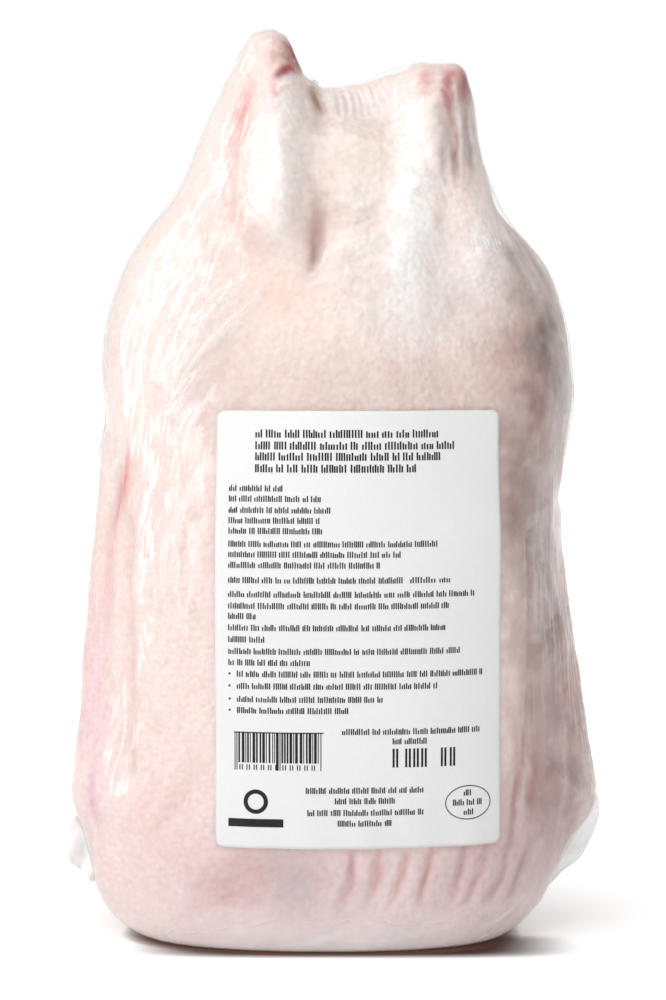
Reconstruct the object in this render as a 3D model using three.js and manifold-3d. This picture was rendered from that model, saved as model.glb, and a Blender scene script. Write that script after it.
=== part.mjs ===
// Frozen whole duck drawn tight into a clear bag, with one paper label on the breast.
// It stands on its neck end: the breast faces -Y and the two cut legs point up. Millimetres, +Z up.
import * as THREE from 'three';
import Module from 'manifold-3d';

// label
const labelWidth = 101.6;
const labelHeight = 152.4;
const labelThickness = 0.4;
const labelCorner = 3;
const labelCentreX = 10.4;
const labelCentreZ = 116.3;
const labelClearance = 0.45;

// bag
const filmGap = 0.45;
const filmTurns = 300;
const softenTurns = 4;
const softenDepth = 1;
const footHeight = 0;
const earThickness = 1.6;

// grid of the wrapped body: columns go round, rows go from the foot to the top
const columns = 84;
const rows = 50;
const lowCentre = new THREE.Vector3(2, -2, 46);
const highCentre = new THREE.Vector3(2, 0, 262);
const lowCapShare = 0.25;
const highCapShare = 0.27;

// rounded masses of the bird: girth squares off the level section, power squares off the form along z,
// blend rounds the joint
const masses = [
  { part: 'breast', centre: [0.5, -7, 102], radii: [81, 46, 105], girth: 2.2, power: 3.3, blend: 0 },
  { part: 'back', centre: [1, 8, 146], radii: [62, 35, 146], girth: 2.2, power: 2.3, blend: 22 },
  { part: 'neck end', centre: [-3.5, -5, 37], radii: [84, 40.5, 45], girth: 2.6, power: 3, blend: 15 },
  { part: 'belly', centre: [6, -8, 240], radii: [43, 27, 58], girth: 2, power: 2.2, blend: 16 },
  { part: 'vent', centre: [9, 1, 282], radii: [31, 14, 24], girth: 2.2, power: 2.8, blend: 10 },
  { part: 'left thigh', centre: [-45, -1, 206], radii: [37, 33, 60], girth: 2, power: 2.1, blend: 14 },
  { part: 'right thigh', centre: [50, -1, 199], radii: [37.5, 33, 63], girth: 2, power: 2.1, blend: 14 },
  { part: 'upper breast', centre: [6, -16, 190], radii: [44, 32, 62], girth: 2, power: 2, blend: 18 },
  { part: 'tail', centre: [4, 20, 284], radii: [16, 11, 24], girth: 2, power: 2, blend: 12 },
  { part: 'right stump', centre: [39, -8, 293], radii: [10.6, 10.5, 23.2], girth: 2.4, power: 5, blend: 5 },
];

// tapered limbs, each from one round end to the other
const limbs = [
  { part: 'left shank', from: [-22.6, -10, 318.8], to: [-18, -22, 262], radii: [9, 16.5], blend: 8 },
  { part: 'left hock', from: [-29.5, -5, 304], to: [-43.5, -3, 254], radii: [10, 17.5], blend: 9 },
  { part: 'left spur', from: [-15.5, -7, 308.5], to: [-2, -8, 298], radii: [4.6, 6.5], blend: 6 },
  { part: 'web flap', from: [3, -4, 301], to: [31, -6, 308.3], radii: [5.3, 6], blend: 6 },
  { part: 'right shank', from: [38, -10, 300], to: [25, -20, 232], radii: [11, 17], blend: 8 },
  { part: 'right hock', from: [38.5, -2, 298], to: [45, -3, 256], radii: [10, 16], blend: 8 },
  { part: 'right calf', from: [43, -14, 284], to: [48, -17, 244], radii: [6, 14], blend: 9 },
  { part: 'left upper wing', from: [-78, 14, 54], to: [-71, 15, 175], radii: [14, 9], blend: 16 },
  { part: 'left fore wing', from: [-80, -5, 52], to: [-75, 5, 172], radii: [15, 8.5], blend: 9 },
  { part: 'right upper wing', from: [77, 14, 54], to: [69, 15, 148], radii: [14, 9], blend: 16 },
  { part: 'right fore wing', from: [82, -5, 54], to: [74, 5, 150], radii: [15, 9], blend: 9 },
  { part: 'right elbow', from: [79, -5, 50], to: [72, -5, 36], radii: [13.5, 14], blend: 9 },
];

// where the bag is shrunk right onto the flesh instead of bridging a hollow, on the x-z plane
const shrunkPatches = [
  { centre: [2, 309], radii: [24, 13] },
  { centre: [38, 312], radii: [14, 10] },
  { centre: [-13, 319], radii: [9, 10] },
];

// free corners of the bag beside the neck end, drawn in the x-z plane from inside the body outwards
const ears = [
  { y: -6, outline: [[-72, 52], [-76, 14], [-82, 16.5], [-88, 21], [-93, 27], [-95, 33.5], [-93.5, 40]] },
  { y: -6, outline: [[72, 58], [92, 54], [97.4, 48], [96.8, 39], [93, 30], [87, 23], [76, 15]] },
];

const smoothMin = (a, b, width) => {
  const near = Math.max(width - Math.abs(a - b), 0) / Math.max(width, 1e-9);
  return Math.min(a, b) - near * near * width / 4;
};

// distance to a rounded mass, measured along the line to its centre
function massDistance(point, mass) {
  const offset = point.clone().sub(new THREE.Vector3(...mass.centre));
  const wide = Math.abs(offset.x) / mass.radii[0];
  const deep = Math.abs(offset.y) / mass.radii[1];
  const flat = (wide ** mass.girth + deep ** mass.girth) ** (1 / mass.girth);
  const upright = Math.abs(offset.z) / mass.radii[2];
  const reach = (flat ** mass.power + upright ** mass.power) ** (1 / mass.power);
  return offset.length() * (1 - 1 / Math.max(reach, 1e-6));
}

function limbDistance(point, limb) {
  const start = new THREE.Vector3(...limb.from);
  const axis = new THREE.Vector3(...limb.to).sub(start);
  const offset = point.clone().sub(start);
  const along = THREE.MathUtils.clamp(offset.dot(axis) / axis.lengthSq(), 0, 1);
  const thickness = THREE.MathUtils.lerp(limb.radii[0], limb.radii[1], along);
  return offset.addScaledVector(axis, -along).length() - thickness;
}

function duckDistance(point) {
  let distance = 1e9;
  for (const mass of masses) {
    distance = smoothMin(distance, massDistance(point, mass), mass.blend);
  }
  for (const limb of limbs) {
    distance = smoothMin(distance, limbDistance(point, limb), limb.blend);
  }
  return -smoothMin(-distance, point.z, 3);
}

// one ray for each grid point: level rays from a line up the middle, fans of rays over both ends
function rayAt(column, row) {
  const turn = 2 * Math.PI * column / columns;
  const height = row / (rows - 1);
  const lowFan = Math.max(1 - height / lowCapShare, 0);
  const highFan = Math.max(1 - (1 - height) / highCapShare, 0);
  const lift = (highFan - lowFan) * Math.PI / 2;
  const side = (height - lowCapShare) / (1 - lowCapShare - highCapShare);
  const origin = lowCentre.clone().lerp(highCentre, THREE.MathUtils.clamp(side, 0, 1));
  const direction = new THREE.Vector3(
    Math.sin(turn) * Math.cos(lift),
    -Math.cos(turn) * Math.cos(lift),
    Math.sin(lift),
  );
  return { origin, direction, length: 0 };
}

// outermost crossing of the duck's surface on a ray, found from outside in and then halved down
function surfaceLength(ray) {
  const signed = (length) => duckDistance(ray.origin.clone().addScaledVector(ray.direction, length));
  let outside = 150;
  let inside = 0;
  const step = 2.5;
  for (let length = outside - step; length > 0; length -= step) {
    if (signed(length) < 0) {
      inside = length;
      break;
    }
    outside = length;
  }
  for (let turn = 0; turn < 18; turn += 1) {
    const middle = (inside + outside) / 2;
    if (signed(middle) < 0) {
      inside = middle;
    } else {
      outside = middle;
    }
  }
  return outside;
}

const rays = [];
for (let row = 0; row < rows; row += 1) {
  for (let column = 0; column < columns; column += 1) {
    rays.push(rayAt(column, row));
  }
}
const skinLengths = rays.map(surfaceLength);
rays.forEach((ray, index) => {
  ray.length = skinLengths[index] + filmGap;
});

const indexAt = (column, row) => row * columns + (column + columns) % columns;
const pointOf = (ray) => ray.origin.clone().addScaledVector(ray.direction, ray.length);

// mean of the four neighbours; at the two poles every ray sees the whole next ring
function neighbourMean(points, column, row) {
  const mean = new THREE.Vector3();
  if (row === 0 || row === rows - 1) {
    const ring = row === 0 ? 1 : rows - 2;
    for (let other = 0; other < columns; other += 1) {
      mean.addScaledVector(points[indexAt(other, ring)], 1 / columns);
    }
    return mean;
  }
  for (const index of [
    indexAt(column - 1, row),
    indexAt(column + 1, row),
    indexAt(column, row - 1),
    indexAt(column, row + 1),
  ]) {
    mean.addScaledVector(points[index], 0.25);
  }
  return mean;
}

// the bag is drawn taut: each point goes to the mean of its neighbours unless the bird holds it out;
// sink says how far the softened edges may press in
function relax(turns, sink) {
  for (let turn = 0; turn < turns; turn += 1) {
    const points = rays.map(pointOf);
    rays.forEach((ray, index) => {
      const mean = neighbourMean(points, index % columns, Math.floor(index / columns));
      const taut = mean.sub(ray.origin).dot(ray.direction);
      ray.length = Math.max(skinLengths[index] + filmGap - sink, taut);
    });
  }
}
relax(filmTurns, 0);
relax(softenTurns, softenDepth);

// share of shrinking at a place: 1 at the middle of a patch, fading to 0 outside it
function shrunkShare(point) {
  const shares = shrunkPatches.map(({ centre, radii }) => {
    const across = (point.x - centre[0]) / radii[0];
    const up = (point.z - centre[1]) / radii[1];
    return Math.exp(-((across * across + up * up) ** 2));
  });
  return Math.max(...shares);
}
rays.forEach((ray, index) => {
  const share = shrunkShare(pointOf(ray));
  ray.length = THREE.MathUtils.lerp(ray.length, skinLengths[index] + filmGap, share);
});

function meshOf(name, positions, triangles, look) {
  const geometry = new THREE.BufferGeometry();
  geometry.setAttribute('position', new THREE.Float32BufferAttribute(positions, 3));
  geometry.setIndex(triangles);
  geometry.computeVertexNormals();
  const mesh = new THREE.Mesh(geometry, new THREE.MeshStandardMaterial(look));
  mesh.name = name;
  return mesh;
}

// closed skin of the wrapped body with one vertex at each pole; below the foot height it is cut level
function wrappedBody() {
  const points = rays.map(pointOf);
  points.forEach((point) => {
    point.z = Math.max(point.z, footHeight);
  });
  const positions = [];
  const triangles = [];
  for (let row = 1; row < rows - 1; row += 1) {
    for (let column = 0; column < columns; column += 1) {
      positions.push(...points[indexAt(column, row)].toArray());
    }
  }
  const foot = positions.length / 3;
  positions.push(...points[indexAt(0, 0)].toArray());
  const crown = foot + 1;
  positions.push(...points[indexAt(0, rows - 1)].toArray());
  for (let column = 0; column < columns; column += 1) {
    const next = (column + 1) % columns;
    const topRing = (rows - 3) * columns;
    triangles.push(foot, next, column);
    triangles.push(crown, topRing + column, topRing + next);
    for (let row = 0; row < rows - 3; row += 1) {
      const low = row * columns;
      const high = low + columns;
      triangles.push(low + column, low + next, high + next);
      triangles.push(low + column, high + next, high + column);
    }
  }
  return { positions, triangles };
}

// flat fin with its outline in the x-z plane
function earFin(ear) {
  const positions = [];
  const triangles = [];
  const count = ear.outline.length;
  const area = THREE.ShapeUtils.area(ear.outline.map(([x, z]) => new THREE.Vector2(x, z)));
  const outline = area > 0 ? ear.outline : [...ear.outline].reverse();
  for (const side of [-1, 1]) {
    for (const [x, z] of outline) {
      positions.push(x, ear.y + side * earThickness / 2, z);
    }
  }
  for (let corner = 1; corner < count - 1; corner += 1) {
    triangles.push(0, corner, corner + 1);
    triangles.push(count, count + corner + 1, count + corner);
  }
  for (let corner = 0; corner < count; corner += 1) {
    const next = (corner + 1) % count;
    triangles.push(corner, count + corner, count + next);
    triangles.push(corner, count + next, next);
  }
  return { positions, triangles };
}

const wasm = await Module();
wasm.setup();

const solidOf = ({ positions, triangles }) => new wasm.Manifold(new wasm.Mesh({
  numProp: 3,
  vertProperties: new Float32Array(positions),
  triVerts: new Uint32Array(triangles),
}));

let bodySolid = solidOf(wrappedBody());
for (const ear of ears) {
  bodySolid = bodySolid.add(solidOf(earFin(ear)));
}
const bodyMesh = bodySolid.getMesh();
const body = meshOf(
  'wrapped_duck',
  [...bodyMesh.vertProperties],
  [...bodyMesh.triVerts],
  { color: 0xecdcd4, roughness: 0.28, metalness: 0 },
);

// distances across the label: even steps, and one short step at each edge for the round corners
function labelSteps(size, count) {
  const inner = size - 2 * labelCorner;
  const steps = [-size / 2];
  for (let step = 0; step <= count; step += 1) {
    steps.push(-inner / 2 + inner * step / count);
  }
  steps.push(size / 2);
  return steps;
}

// front of the bag at a place in the x-z plane, a little ahead of the film
const caster = new THREE.Raycaster();
const ahead = new THREE.Vector3(0, 1, 0);
function frontAt(target, x, z) {
  caster.set(new THREE.Vector3(x, -200, z), ahead);
  const hit = caster.intersectObject(target)[0];
  return new THREE.Vector3(x, hit.point.y - labelClearance, z);
}

// place reached from the start by following the front of the bag for a length of paper
function follow(target, start, length, toX, toZ) {
  const parts = 12;
  const step = Math.abs(length) / parts;
  const sign = Math.sign(length);
  let here = start;
  for (let part = 0; part < parts; part += 1) {
    const level = frontAt(target, here.x + sign * toX * step, here.z + sign * toZ * step);
    const shift = sign * step * step / Math.max(level.distanceTo(here), 1e-6);
    here = frontAt(target, here.x + toX * shift, here.z + toZ * shift);
  }
  return here;
}

// the label lies on the front of the bag and bends with it; its four corners are rounded off
function labelSheet(target) {
  const across = labelSteps(labelWidth, 12);
  const up = labelSteps(labelHeight, 16);
  const cornerInset = labelCorner * (1 - Math.SQRT1_2);
  const middle = frontAt(target, labelCentreX, labelCentreZ);
  const front = [];
  for (const height of up) {
    const spine = follow(target, middle, height, 0, 1);
    for (const width of across) {
      const atSide = Math.abs(width) > labelWidth / 2 - 0.01;
      const atEnd = Math.abs(height) > labelHeight / 2 - 0.01;
      const inset = atSide && atEnd ? cornerInset : 0;
      const start = frontAt(target, spine.x, spine.z - Math.sign(height) * inset);
      front.push(follow(target, start, width - Math.sign(width) * inset, 1, 0));
    }
  }
  return { across: across.length, up: up.length, front };
}

function labelPlate(sheet) {
  const positions = [];
  const triangles = [];
  const count = sheet.front.length;
  for (const depth of [-labelThickness, 0]) {
    for (const point of sheet.front) {
      positions.push(point.x, point.y + depth, point.z);
    }
  }
  const quad = (a, b, c, d) => triangles.push(a, b, c, a, c, d);
  for (let row = 0; row < sheet.up - 1; row += 1) {
    for (let column = 0; column < sheet.across - 1; column += 1) {
      const low = row * sheet.across + column;
      const high = low + sheet.across;
      quad(low, low + 1, high + 1, high);
      quad(count + low, count + high, count + high + 1, count + low + 1);
    }
  }
  const rim = [];
  for (let column = 0; column < sheet.across - 1; column += 1) {
    rim.push(column);
  }
  for (let row = 0; row < sheet.up - 1; row += 1) {
    rim.push(row * sheet.across + sheet.across - 1);
  }
  for (let column = sheet.across - 1; column > 0; column -= 1) {
    rim.push((sheet.up - 1) * sheet.across + column);
  }
  for (let row = sheet.up - 1; row > 0; row -= 1) {
    rim.push(row * sheet.across);
  }
  rim.forEach((corner, place) => {
    const next = rim[(place + 1) % rim.length];
    quad(corner, count + corner, count + next, next);
  });
  return { positions, triangles };
}

const plate = labelPlate(labelSheet(body));
const label = meshOf(
  'label',
  plate.positions,
  plate.triangles,
  { color: 0xefefef, roughness: 0.45, metalness: 0 },
);

const group = new THREE.Group();
group.name = 'wrapped_whole_duck';
group.add(body, label);

// the middle of the foot of the whole stands at the origin
const bounds = new THREE.Box3().setFromObject(group);
const middle = bounds.getCenter(new THREE.Vector3());
for (const mesh of group.children) {
  mesh.position.set(-middle.x, -middle.y, -bounds.min.z);
}

export default group;
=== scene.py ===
import bpy
import numpy as np
from math import pi, radians
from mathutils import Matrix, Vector
from mathutils.bvhtree import BVHTree


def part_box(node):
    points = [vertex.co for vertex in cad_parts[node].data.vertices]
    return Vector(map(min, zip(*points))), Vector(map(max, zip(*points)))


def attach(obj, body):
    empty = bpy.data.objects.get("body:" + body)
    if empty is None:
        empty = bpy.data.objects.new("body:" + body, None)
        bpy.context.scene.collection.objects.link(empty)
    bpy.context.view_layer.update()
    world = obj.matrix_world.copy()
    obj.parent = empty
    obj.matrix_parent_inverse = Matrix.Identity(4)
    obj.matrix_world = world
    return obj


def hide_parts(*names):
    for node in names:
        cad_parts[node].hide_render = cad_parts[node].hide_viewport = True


# a frozen whole duck, standing on its neck end: skin, shrink film, pinched folds, label, print, bag corners
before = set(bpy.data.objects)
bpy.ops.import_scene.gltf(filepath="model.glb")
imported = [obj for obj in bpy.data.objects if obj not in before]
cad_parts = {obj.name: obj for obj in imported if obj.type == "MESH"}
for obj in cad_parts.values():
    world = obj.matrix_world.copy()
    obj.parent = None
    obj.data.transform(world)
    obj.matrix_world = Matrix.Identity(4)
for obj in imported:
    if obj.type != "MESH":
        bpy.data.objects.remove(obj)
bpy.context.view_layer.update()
mm = 0.001                      # all the shapes below are worked out in millimetres


def linearFrom(hexColour):
    # sRGB hex to linear red, green and blue
    values = np.array([int(hexColour[i:i + 2], 16) for i in (1, 3, 5)]) / 255.0
    return np.where(values <= 0.04045, values / 12.92, ((values + 0.055) / 1.055) ** 2.4)


def smoothStep(low, high, x):
    # 0 below low, 1 above high, and 3 t^2 - 2 t^3 between them
    t = np.clip((x - low) / (high - low), 0, 1)
    return t * t * (3 - 2 * t)


def waves(points, wavelength, seed, count=14, stretch=(1, 1, 1)):
    # soft noise: cosine waves in random directions, their sum over the root of their count
    rng = np.random.default_rng(seed)
    ways = rng.normal(size=(count, 3))
    ways /= np.linalg.norm(ways, axis=1, keepdims=True)
    ways *= (2 * pi / (wavelength * rng.uniform(0.7, 1.5, count)))[:, None] / np.array(stretch)
    phases = rng.uniform(0, 2 * pi, count)
    return np.cos(points @ ways.T + phases).sum(-1) / np.sqrt(count)


def layeredWaves(points, layers):
    # layers of soft noise on each other: wavelength, height, seed, how many waves, stretch
    return sum(height * waves(points, wavelength, seed, count, stretch)
               for wavelength, height, seed, count, stretch in layers)


def awayFrom(flat, centre, radii):
    # squared distance from a centre, counted in radii
    return (((flat - np.array(centre, float)) / np.array(radii, float)) ** 2).sum(-1)


def gridFaces(rows, columns, wrap):
    # quads of a grid; with wrap the last column joins the first
    last = columns if wrap else columns - 1
    row, column = np.meshgrid(np.arange(rows - 1), np.arange(last), indexing="ij")
    following = (column + 1) % columns
    quads = np.stack([row * columns + column, row * columns + following,
                      (row + 1) * columns + following, (row + 1) * columns + column], -1)
    return quads.reshape(-1, 4)


def meshPiece(name, points, faces, material, smooth=True):
    # points in frame millimetres to a mesh object at the origin
    mesh = bpy.data.meshes.new(name)
    mesh.from_pydata((np.asarray(points) * mm).tolist(), [], [list(f) for f in faces])
    mesh.polygons.foreach_set("use_smooth", np.full(len(mesh.polygons), smooth))
    mesh.update()
    piece = bpy.data.objects.new(name, mesh)
    bpy.context.scene.collection.objects.link(piece)
    mesh.materials.append(material)
    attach(piece, "root")
    return piece


def setAttribute(piece, name, values):
    # one colour (n, 3) or one number (n) for each vertex
    values = np.asarray(values, dtype=np.float32)
    if values.ndim == 2:
        layer = piece.data.attributes.new(name, "FLOAT_COLOR", "POINT")
        layer.data.foreach_set("color", np.concatenate([values, np.ones((len(values), 1))], 1).ravel())
    else:
        layer = piece.data.attributes.new(name, "FLOAT", "POINT")
        layer.data.foreach_set("value", values)


def addNode(material, kind, settings=None, links=None):
    # adds a node; settings are socket or property values, links go from (node, output) to its inputs
    tree = material.node_tree
    node = tree.nodes.new(kind)
    for key, value in (settings or {}).items():
        if isinstance(key, str) and hasattr(node, key):
            setattr(node, key, value)
        else:
            node.inputs[key].default_value = value
    for key, (source, output) in (links or {}).items():
        tree.links.new(source.outputs[output], node.inputs[key])
    return node


def newMaterial(name):
    # an empty node material
    material = bpy.data.materials.new(name)
    material.use_nodes = True
    material.node_tree.nodes.clear()
    return material


def hexRgba(hexColour):
    # linear colour with full cover
    return (*linearFrom(hexColour), 1.0)


def addNoise(material, size, settings, vector):
    # noise with patches about size millimetres wide
    return addNode(material, "ShaderNodeTexNoise", {"Scale": 1 / (size * mm), **settings}, {"Vector": vector})


def addBlend(material, share, low, high):
    # colour between two hex colours, low (1 - share) + high * share
    settings = {"data_type": "RGBA", 6: hexRgba(low), 7: hexRgba(high)}
    return addNode(material, "ShaderNodeMix", settings, {0: share})


def addBump(material, strength, distance, height, normal=None, invert=False):
    # tilts the light by the slope of a height, on top of another bump if one is given
    links = {"Height": height} if normal is None else {"Height": height, "Normal": normal}
    settings = {"Strength": strength, "Distance": distance, "invert": invert}
    return addNode(material, "ShaderNodeBump", settings, links)


duckForm = {
    # centre, radii, girth (squareness of the level section), power (squareness along z), blend
    "masses": {
        "breast": ((0.5, -7, 102), (81, 46, 105), 2.2, 3.3, 0),
        "back": ((1, 8, 146), (62, 35, 146), 2.2, 2.3, 22),
        "neckEnd": ((-3.5, -5, 37), (84, 40.5, 45), 2.6, 3.0, 15),
        "belly": ((6, -8, 240), (43, 27, 58), 2.0, 2.2, 16),
        "vent": ((9, 1, 282), (31, 14, 24), 2.2, 2.8, 10),
        "leftThigh": ((-45, -1, 206), (37, 33, 60), 2.0, 2.1, 14),
        "rightThigh": ((50, -1, 199), (37.5, 33, 63), 2.0, 2.1, 14),
        "upperBreast": ((6, -16, 190), (44, 32, 62), 2.0, 2.0, 18),
        "tail": ((4, 20, 284), (16, 11, 24), 2.0, 2.0, 12),
        "rightStump": ((39, -8, 293), (10.6, 10.5, 23.2), 2.4, 5.0, 5),
    },
    # from, to, start radius, end radius, blend
    "limbs": {
        "leftShank": ((-22.6, -10, 318.8), (-18, -22, 262), 9.0, 16.5, 8),
        "leftHock": ((-29.5, -5, 304), (-43.5, -3, 254), 10, 17.5, 9),
        "leftSpur": ((-15.5, -7, 308.5), (-2, -8, 298), 4.6, 6.5, 6),
        "tailRoot": ((-5, 9, 296), (7, 13, 299.5), 7, 6.5, 8),
        "webFlap": ((3, -4, 301), (31, -6, 308.3), 5.3, 6.0, 6),
        "rightShank": ((38, -10, 300), (25, -20, 232), 11.0, 17, 8),
        "rightHock": ((38.5, -2, 298), (45, -3, 256), 10, 16, 8),
        "rightCalf": ((43, -14, 284), (48, -17, 244), 6, 14, 9),
        "leftUpperWing": ((-78, 14, 54), (-71, 15, 175), 14, 9, 16),
        "leftForeWing": ((-80, -5, 52), (-75, 5, 172), 15, 8.5, 9),
        "rightUpperWing": ((77, 14, 54), (69, 15, 148), 14, 9, 16),
        "rightForeWing": ((82, -5, 54), (74, 5, 150), 15, 9, 9),
        "rightElbow": ((79, -5, 50), (72, -5, 36), 13.5, 14, 9),
    },
    # the same, taken away softly
    "hollows": {
        "drumstickSide": ((-6.5, -41, 243), (-5, -31, 296), 4.5, 3, 10),
        "wingGrooveLeft": ((-74, -30, 66), (-73, -24, 150), 4, 3, 7),
        "wingGrooveRight": ((75, -29, 70), (71, -25, 146), 4.5, 3.5, 7),
    },
}
duckGrid = {
    "columns": 372, "rows": 266, "frontShare": 0.36, "flankShare": 0.1,
    "lowCentre": (2, -2, 40), "highCentre": (2, 0, 262),
    "lowCap": 0.17, "highCap": 0.23,
    # one ray in four is marched from afar first, then all of them from nearby
    "coarse": 4, "farReach": 150, "farSteps": 50, "farHalvings": 14,
    "nearReach": 8, "nearSteps": 8, "nearHalvings": 12,
    # way from the high centre to the groove between the web and the right stump
    "groove": (25.8, -13, 42.6), "grooveSpread": 0.012, "grooveTurns": 50,
}


def massDistance(points, centre, radii, girth, power):
    # distance along the line to the centre, |offset| (1 - 1 / reach), where with x, y and z counted in radii
    # reach = ((|x|^girth + |y|^girth)^(power / girth) + |z|^power)^(1 / power)
    offset = points - np.array(centre, float)
    scaled = np.abs(offset) / np.array(radii, float)
    flat = (scaled[..., 0] ** girth + scaled[..., 1] ** girth) ** (1 / girth)
    reach = (flat ** power + scaled[..., 2] ** power) ** (1 / power)
    return np.linalg.norm(offset, axis=-1) * (1 - 1 / np.maximum(reach, 1e-6))


def limbDistance(points, start, end, startRadius, endRadius):
    # distance to a line from start to end, less a radius that changes evenly along it
    start, axis = np.array(start, float), np.array(end, float) - np.array(start, float)
    offset = points - start
    along = np.clip((offset @ axis) / (axis @ axis), 0, 1)
    radius = startRadius + (endRadius - startRadius) * along
    return np.linalg.norm(offset - along[..., None] * axis, axis=-1) - radius


def smoothMin(a, b, width):
    # the smaller of two, less width / 4 * (1 - |a - b| / width)^2 where they are closer than width
    near = np.maximum(width - np.abs(a - b), 0) / max(width, 1e-9)
    return np.minimum(a, b) - near * near * width / 4


def duckDistance(points):
    # masses and limbs melted together, hollows taken away, and all of it cut off by the table
    distance = np.full(points.shape[:-1], 1e9)
    for centre, radii, girth, power, blend in duckForm["masses"].values():
        distance = smoothMin(distance, massDistance(points, centre, radii, girth, power), blend)
    for start, end, startRadius, endRadius, blend in duckForm["limbs"].values():
        distance = smoothMin(distance, limbDistance(points, start, end, startRadius, endRadius), blend)
    for start, end, startRadius, endRadius, blend in duckForm["hollows"].values():
        distance = -smoothMin(-distance, limbDistance(points, start, end, startRadius, endRadius), blend)
    return -smoothMin(-distance, points[..., 2], 3)


def raysFor(columns, rows):
    # level rays from a line up the middle, and a fan of rays over both ends; columns crowd to the front
    share = np.arange(columns) / columns
    around = 2 * pi * share
    turn = around - duckGrid["frontShare"] * np.sin(around) + duckGrid["flankShare"] * np.sin(2 * around)
    height = np.linspace(0, 1, rows)
    low, high = duckGrid["lowCap"], duckGrid["highCap"]
    lift = pi / 2 * (np.maximum(1 - (1 - height) / high, 0) - np.maximum(1 - height / low, 0))
    lowCentre, highCentre = np.array(duckGrid["lowCentre"], float), np.array(duckGrid["highCentre"], float)
    side = np.clip((height - low) / (1 - low - high), 0, 1)
    origins = np.repeat((lowCentre + side[:, None] * (highCentre - lowCentre))[:, None, :], columns, 1)
    level, rise = np.cos(lift)[:, None], np.sin(lift)[:, None]
    directions = np.stack([np.sin(turn) * level, -np.cos(turn) * level, rise + 0 * turn], -1)
    return origins, directions


def surfaceLengths(origins, directions, high, low, steps, halvings):
    # outermost crossing on each ray, marched inward from high to low and then halved down
    inside = np.array(low, float) + np.zeros(origins.shape[:2])
    outside = np.array(high, float) + np.zeros(origins.shape[:2])
    found = np.zeros(inside.shape, bool)
    stride = (outside - inside) / steps
    top = outside.copy()
    for step in range(1, steps + 1):
        length = top - stride * step
        hit = (duckDistance(origins + length[..., None] * directions) < 0) & ~found
        inside = np.where(hit, length, inside)
        outside = np.where(hit, length + stride, outside)
        found |= hit
        if found.all():
            break
    for _ in range(halvings):
        middle = (inside + outside) / 2
        within = duckDistance(origins + middle[..., None] * directions) < 0
        inside, outside = np.where(within, middle, inside), np.where(within, outside, middle)
    return outside


def finer(values, shape):
    # a grid stretched to a finer one, linear in both ways; columns wrap round
    rows = np.linspace(0, values.shape[0] - 1, shape[0])
    columns = np.arange(shape[1]) * values.shape[1] / shape[1]
    wrapped = np.concatenate([values, values[:, :1]], 1)
    r0, c0 = np.minimum(rows.astype(int), values.shape[0] - 2), columns.astype(int)
    fr, fc = (rows - r0)[:, None], (columns - c0)[None, :]
    a, b = wrapped[r0][:, c0], wrapped[r0][:, c0 + 1]
    c, d = wrapped[r0 + 1][:, c0], wrapped[r0 + 1][:, c0 + 1]
    return (a * (1 - fc) + b * fc) * (1 - fr) + (c * (1 - fc) + d * fc) * fr


def drawTaut(origins, directions, held, lengths, turns):
    # each point goes to the mean of its four neighbours along its ray, unless it is held out
    for _ in range(turns):
        points = origins + lengths[..., None] * directions
        mean = points.copy()
        beside = np.roll(points, 1, 1) + np.roll(points, -1, 1)
        mean[1:-1] = (beside[1:-1] + points[2:] + points[:-2]) / 4
        mean[0], mean[-1] = points[1].mean(0), points[-2].mean(0)
        lengths = np.maximum(held, ((mean - origins) * directions).sum(-1))
    return lengths


filmForm = {
    "gap": 0.45, "coarseTurns": 260, "fineTurns": 60,
    "sideShift": -0.8,                          # brings the middle of the duck's width over the origin
    # shrunk right onto the flesh instead of bridging: centre (x, z), radii
    "shrunkOn": [((0, 309), (21, 13)), ((39, 312), (12, 10)), ((-13, 319), (9, 10))],
    # where the flesh fills the bag right out
    "filledOut": [((53, 284), (9, 22)), ((-13, 316), (8, 9)), ((-5, 307), (6, 6)), ((26, 303.5), (8, 7))],
}

print("duck: rays and surface")
fineShape = (duckGrid["rows"], duckGrid["columns"])
coarseShape = (duckGrid["rows"] // duckGrid["coarse"], duckGrid["columns"] // duckGrid["coarse"])
coarseOrigins, coarseDirections = raysFor(coarseShape[1], coarseShape[0])
coarseSkin = surfaceLengths(coarseOrigins, coarseDirections, duckGrid["farReach"], 0,
                            duckGrid["farSteps"], duckGrid["farHalvings"])
coarseHeld = coarseSkin + filmForm["gap"]
coarseFilm = drawTaut(coarseOrigins, coarseDirections, coarseHeld, coarseHeld, filmForm["coarseTurns"])
origins, directions = raysFor(fineShape[1], fineShape[0])
guess, near = finer(coarseSkin, fineShape), duckGrid["nearReach"]
skinLengths = surfaceLengths(origins, directions, guess + near, guess - near,
                             duckGrid["nearSteps"], duckGrid["nearHalvings"])
# beside the web the rays glance off the stump's wall, so the step there is eased by a soft cone of rays
grooveAim = np.array(duckGrid["groove"]) / np.linalg.norm(duckGrid["groove"])
eased = np.exp(-((1 - directions @ grooveAim) / duckGrid["grooveSpread"]) ** 2)
relaxed = drawTaut(origins, directions, 0 * skinLengths, skinLengths, duckGrid["grooveTurns"])
skinLengths += eased * (relaxed - skinLengths)
print("duck: bag drawn taut")
held = skinLengths + filmForm["gap"]
filmLengths = drawTaut(origins, directions, held, np.maximum(finer(coarseFilm, fineShape), held),
                       filmForm["fineTurns"])
roughPlace = (origins + filmLengths[..., None] * directions)[..., [0, 2]]
shrunk = np.zeros(fineShape)
for centre, radii in filmForm["shrunkOn"]:
    shrunk = np.maximum(shrunk, np.exp(-awayFrom(roughPlace, centre, radii) ** 2))
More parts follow.
